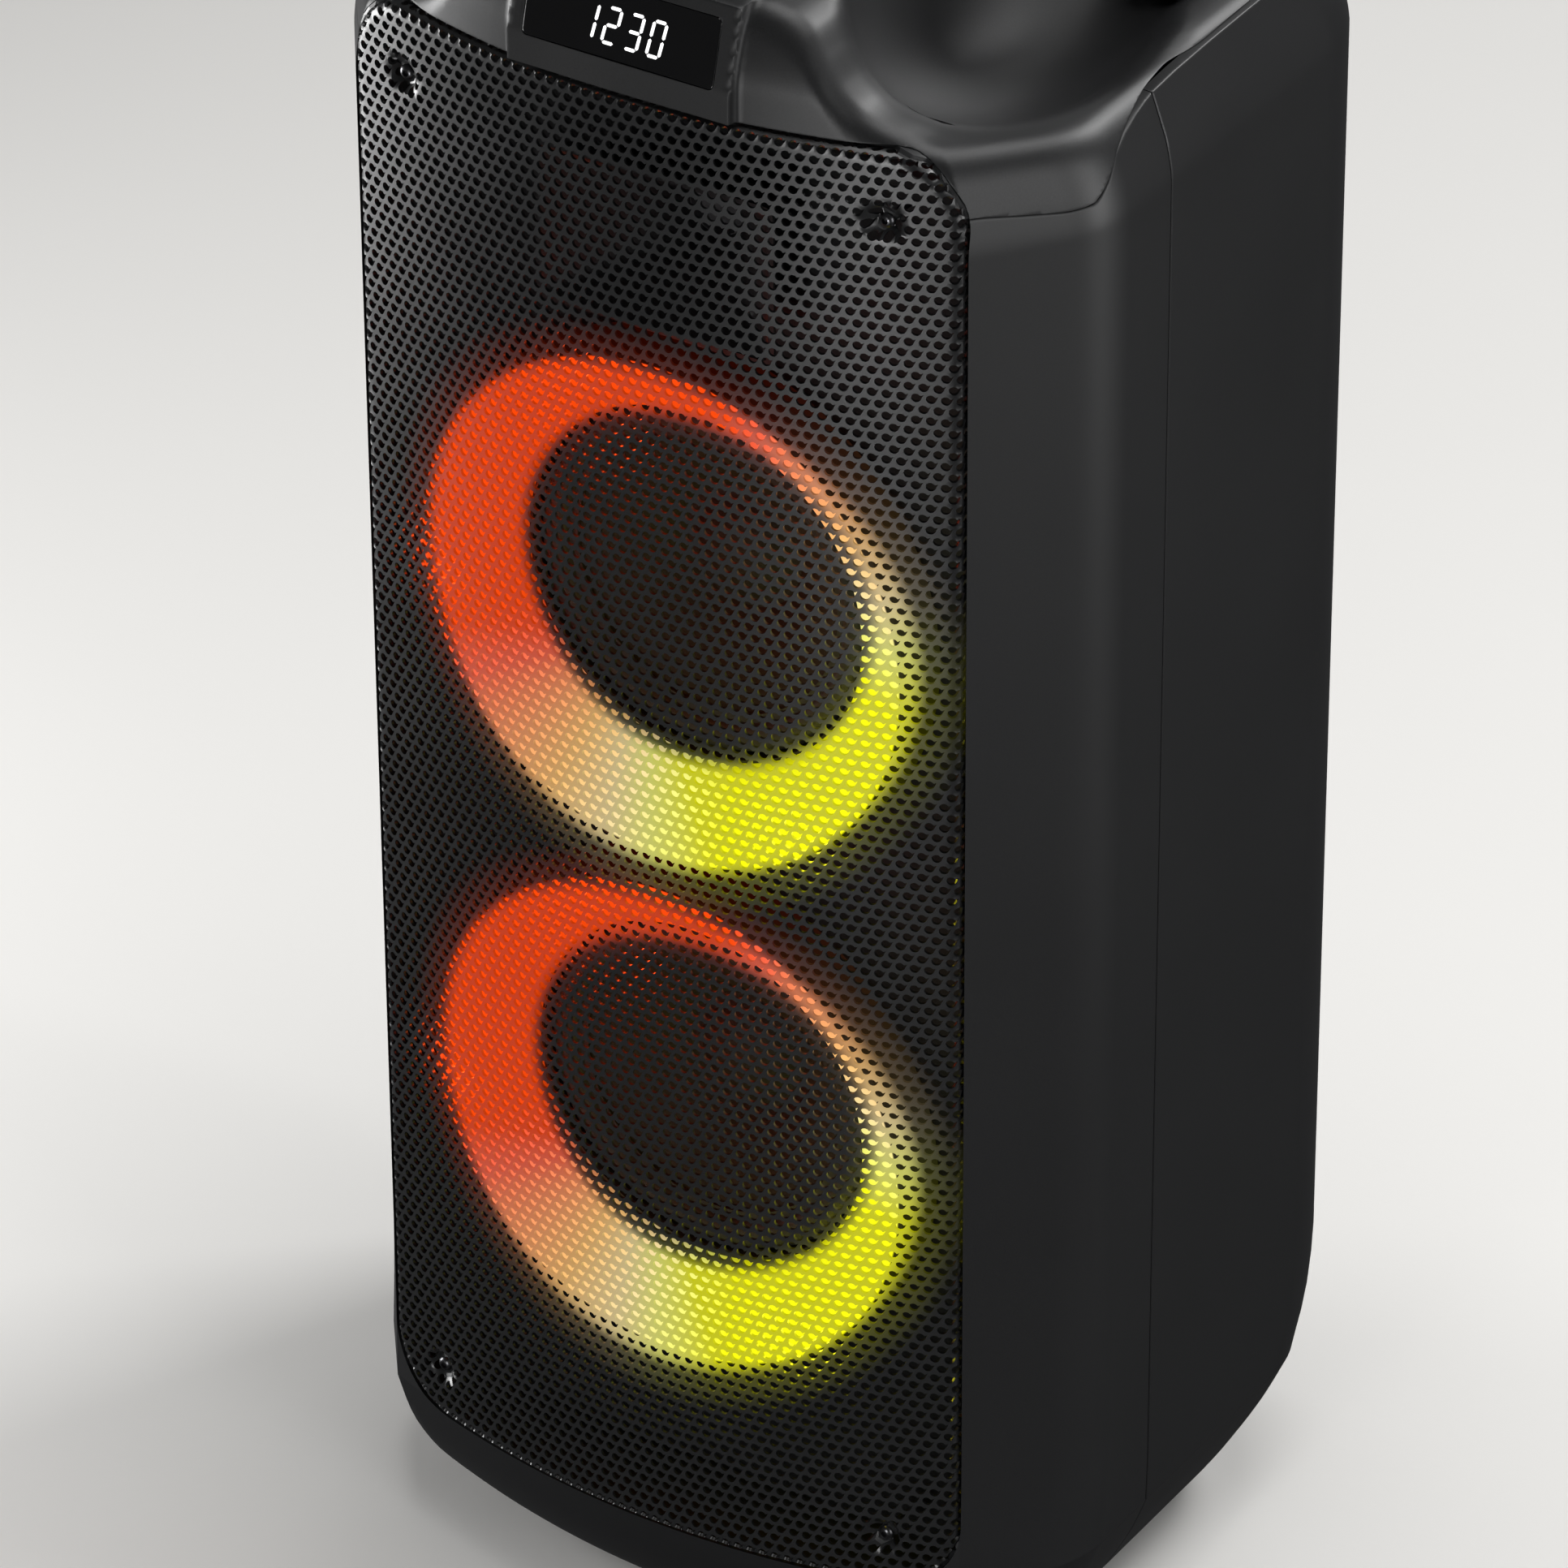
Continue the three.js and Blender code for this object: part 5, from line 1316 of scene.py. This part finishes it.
def jack(name, bore, depth):
    a, b = cad(name)
    x, _, z = centre(name)
    y, r = TRAY_FLOOR_Y, (b[0] - a[0]) / 2
    profile = [(0, y - depth), (r - 2.2, y - depth), (r - 2.2, y + 0.3), (r, y + 0.3), (r, y + 1.4)]
    profile += [(r - 0.5, y + 2.0), (bore + 2.2, y + 2.5), (bore + 0.9, y + 2.5), (bore, y + 1.6)]
    profile += [(bore, y - depth + 4), (0, y - depth + 4)]
    piece(shade(lathe(f"{name}_bush", profile, x, 0, z, "Y", 48), 30), KEY, [name])
    nut = [(bore + 1.0, y + 2.45), (bore + 1.9, y + 2.45), (bore + 2.1, y + 2.8), (bore + 0.8, y + 2.8)]
    piece(shade(lathe(f"{name}_ring", nut, x, 0, z, "Y", 48), 30), PLATED)


def rear_knob(name):
    x, _, z = centre(name)
    y = TRAY_FLOOR_Y
    side = [(3, y - 8, 0), (3, y + 1, 0), (7.3, y + 1, 0), (7.5, y + 1.6, 0.4), (7.1, y + 12.6, 0.4)]
    rows = side + [(6.6, y + 13.6, 0), (5.8, y + 14, 0), (0.5, y + 14, 0)]
    knob = grooved_knob(f"{name}_cap", rows, 24, 120, lambda a, b, h: (x + a, h, z + b))
    piece(knob, KNOB, [name], name)
    line = rounded_rect(x - 0.5, x + 0.5, z + 1.5, z + 5.6, 0.4, 3)
    piece(prism(f"{name}_line", line, y + 13.9, y + 14.0), PRINT, (), name)


def rocker():
    a, b = cad("power_rocker")
    x, _, z = centre("power_rocker")
    y = TRAY_FLOOR_Y
    side = [(y + 2.6, z - 8.6)]
    side += [(y + 0.7 + 1.9 * abs(t) ** 1.6, z + 8.6 * t) for t in np.linspace(-0.9, 0.9, 13)]
    side += [(y + 2.6, z + 8.6), (y - 7, z + 7.4), (y - 7, z - 7.4)]
    key = prism("power_rocker_cap", side, a[0], b[0], "X")
    piece(rounded(key, 0.5), KEY, ["power_rocker"], "power_rocker")
    outline = rounded_rect(x - 8.5, x + 8.5, z - 12.5, z + 12.5, 1.5, 4)
    bezel = prism("rocker_bezel", outline, y + 0.3, y + 1.4)
    bezel = join(bezel, block("can", x - 6.7, x + 6.7, y - 14, y + 0.3, z - 10.7, z + 10.7))
    cut(bezel, block("room", x - 5.8, x + 5.8, y - 12, y + 3, z - 10, z + 10))
    piece(rounded(bezel, 0.3, 2), KEY, ["switch_body"])


def inlet():
    a, b = cad("power_inlet")
    x, _, z = centre("power_inlet")
    y = TRAY_FLOOR_Y
    flange = prism("inlet_shell", rounded_rect(a[0], b[0], a[2], b[2], 2, 5), y + 0.3, y + 2)
    body = block("body", x - 11.2, x + 11.2, y - 18, y + 0.3, z - 7.7, z + 7.7)
    join(flange, body)
    lobes = arc(x + 4.3, z, 5.2, -90, 90, 12) + arc(x - 4.3, z, 5.2, 90, 270, 12)
    cut(flange, prism("well", lobes, y - 15, y + 5))
    soften(flange, 0.35, 2)
    for dx in (-4.3, 4.3):
        join(flange, rod("pin_seat", x + dx, z, 1.6, y - 15.5, y - 14, 20))
    piece(even_normals(shade(flange)), KEY, ["power_inlet"])
    pin = [(0, y - 15), (1.15, y - 15), (1.15, y - 3.6), (0.7, y - 3), (0, y - 3)]
    pins = join(*[lathe("pin", pin, x + dx, 0, z, "Y", 24) for dx in (-4.3, 4.3)])
    pins.name = "inlet_pins"
    piece(shade(pins, 40), PLATED)


def usb():
    a, b = cad("usb_socket")
    x, _, z = centre("usb_socket")
    y = TRAY_FLOOR_Y
    shell = block("usb_shell", a[0], b[0], a[1], b[1], a[2], b[2])
    cut(shell, block("room", x - 6.1, x + 6.1, y - 12, y + 3, z - 2.7, z + 2.7))
    piece(rounded(shell, 0.15, 2), PLATED, ["usb_socket"])
    tongue = block("usb_tongue", x - 5.2, x + 5.2, y - 12.5, y - 1.5, z + 0.3, z + 1.9)
    piece(soften(tongue, 0.2, 2), KEY)


def feet():
    for number in (1, 2, 3, 4):
        a, b = cad(f"foot_{number}")
        x, y, _ = centre(f"foot_{number}")
        r, top = (b[0] - a[0]) / 2, FLOOR_Z - 0.3
        profile = turn_profile([(0, 0), (r - 2.2, 0), (r - 0.8, 0.4), (r, 1.4), (r, top)], 4)
        profile += [(3, top), (3, 12), (0, 12)]
        foot = lathe(f"rubber_foot_{number}", profile, x, y, 0, "Z", 64)
        piece(shade(foot, 35), RUBBER, [f"foot_{number}"])


def frame_finishes():
    """Materials for the CAD nodes that stay in view inside the case."""
    kinds = {
        "led_board": BOARD, "woofer_frame": PAINT, "woofer_magnet": FERRITE, "spider": CLOTH,
        "tweeter_driver": FERRITE, "display_board": BOARD, "control_board": BOARD, "amplifier_board": BOARD,
        "heat_sink": ALUMINIUM,
        "battery_pack": WRAP, "power_supply": BOARD,
    }
    for name, obj in frame["nodes"].items():
        for ending, material in kinds.items():
            if name.endswith(ending):
                for slot in obj.material_slots:
                    slot.material = material


# ---- build ----
front_shell()
rear_shell()
top_cap()
grille()
for index, x in enumerate((-SCREW_X, SCREW_X)):
    for step, z in enumerate(SCREW_Z):
        grille_screw(2 * index + step + 1, x, z)
for where, ring_z in zip(("upper", "lower"), RING_Z):
    light_ring(where, ring_z)
    woofer(where, ring_z)
horn()
display()
console()
handle()
port()
tray()
jack("mic_jack", 3.3, 22)
jack("guitar_jack", 3.3, 22)
jack("aux_jack", 1.9, 14)
rear_knob("mic_volume_knob")
rear_knob("guitar_volume_knob")
rocker()
inlet()
usb()
feet()
frame_finishes()


# ---- studio ----
def axes_matrix(*columns):
    """The matrix whose columns are the right, up and back axes and the place."""
    return Matrix([[column[i] for column in columns] for i in range(3)] + [[0, 0, 0, 1]])


def area_light(name, at, towards, width, height, power):
    data = bpy.data.lights.new(name, "AREA")
    data.shape = "RECTANGLE"
    data.size, data.size_y = width, height
    data.energy = power
    obj = link(name, data)
    back = np.array(at, float) - np.array(towards, float)
    back /= np.linalg.norm(back)
    right = np.cross((0, 0, 1), back)
    right = right / np.linalg.norm(right) if np.linalg.norm(right) > 1e-6 else np.array((1.0, 0, 0))
    up = np.cross(back, right)
    obj.matrix_world = axes_matrix(right, up, back, at)
    obj.visible_camera = False
    return obj


RED_LED, YELLOW_LED = (1.0, 0.07, 0.01), (1.0, 0.95, 0.02)
LED_POWER = 0.035


def led_light(at, colour):
    """Light of the LEDs that spills from a ring onto what is round it behind the grille."""
    data = bpy.data.lights.new("ring_leds", "POINT")
    data.energy = LED_POWER
    data.shadow_soft_size = 0.006
    data.color = colour
    obj = link("ring_leds", data)
    obj.location = (at[0] * MM, (RING_Y - 5) * MM, at[1] * MM)
    obj.visible_camera = False


def around(azimuth, distance, height):
    """A point round the speaker. Azimuth 0 is straight in front, 90 is its right side."""
    a = math.radians(azimuth)
    return (distance * math.sin(a), -distance * math.cos(a), height)


FLOOR_R = 9000


def floor():
    f = Finish("studio_floor", Specular_IOR_Level=0.1, Roughness=0.9)
    tone = f.noise(400, 2.0)
    f.set("Base Color", f.mix(tone, (0.74, 0.73, 0.71), (0.76, 0.75, 0.73)))
    f.bump(f.noise(6, 2.0), 0.05)
    corners = [(FLOOR_R * x, FLOOR_R * y, 0) for x, y in ((-1, -1), (1, -1), (1, 1), (-1, 1))]
    plane = make("studio_floor", corners, [(0, 1, 2, 3)], tidy=False)
    plane.data.materials.append(f.material)
    plane.visible_glossy = False


VIEW_AZIMUTH, VIEW_ELEVATION, VIEW_ROLL = (math.radians(a) for a in (33.08, 32.425, -0.35))
VIEW_DISTANCE = 3.6414
VIEW_AIM = (0, -0.033, 0.3392)
LENS = 219.4


def camera():
    """Looks down at the speaker from its front right, through a long lens."""
    data = bpy.data.cameras.new("camera")
    data.sensor_width = 36
    data.lens = LENS
    data.clip_end = 50
    flat = np.array((math.cos(VIEW_AZIMUTH), math.sin(VIEW_AZIMUTH), 0))
    out, rise = math.cos(VIEW_ELEVATION), math.sin(VIEW_ELEVATION)
    back = np.array((flat[1] * out, -flat[0] * out, rise))
    upright = np.cross(back, flat)
    c, s = math.cos(VIEW_ROLL), math.sin(VIEW_ROLL)
    obj = link("camera", data)
    at = np.array(VIEW_AIM) + VIEW_DISTANCE * back
    obj.matrix_world = axes_matrix(flat * c + upright * s, upright * c - flat * s, back, at)
    bpy.context.scene.camera = obj


def world():
    scene = bpy.context.scene
    scene.world = bpy.data.worlds.new("studio")
    scene.world.use_nodes = True
    background = scene.world.node_tree.nodes["Background"]
    background.inputs["Color"].default_value = (1, 1, 1, 1)
    background.inputs["Strength"].default_value = 0.055
    scene.view_settings.view_transform = "Standard"


floor()
camera()
world()
MIDDLE = (0, 0, 0.4)
area_light("left_soft", around(-76, 1.4, 0.3), (0, 0, 0.35), 0.45, 0.6, 17)
area_light("front_strip", around(5, 1.5, 0.22), (0, 0, 0.3), 0.2, 0.42, 7)
area_light("strip_fill", around(70, 2.0, 0.6), MIDDLE, 0.6, 1.2, 11)
area_light("right_rear_strip", around(104, 1.7, 0.45), MIDDLE, 0.2, 0.9, 9)
area_light("high_rear_right", around(150, 1.8, 2.0), (0.1, 0, 0.6), 0.7, 0.7, 32)
area_light("top_soft", (0.2, 0.1, 2.4), (0, -0.05, 0.7), 1.4, 1.4, 26)
area_light("rear_fill", around(190, 2.2, 1.2), MIDDLE, 1.4, 1.4, 8)
for ring_z in RING_Z:
    led_light((-12, ring_z + 92), RED_LED)
    led_light((-92, ring_z), RED_LED)
    led_light((66, ring_z - 66), YELLOW_LED)
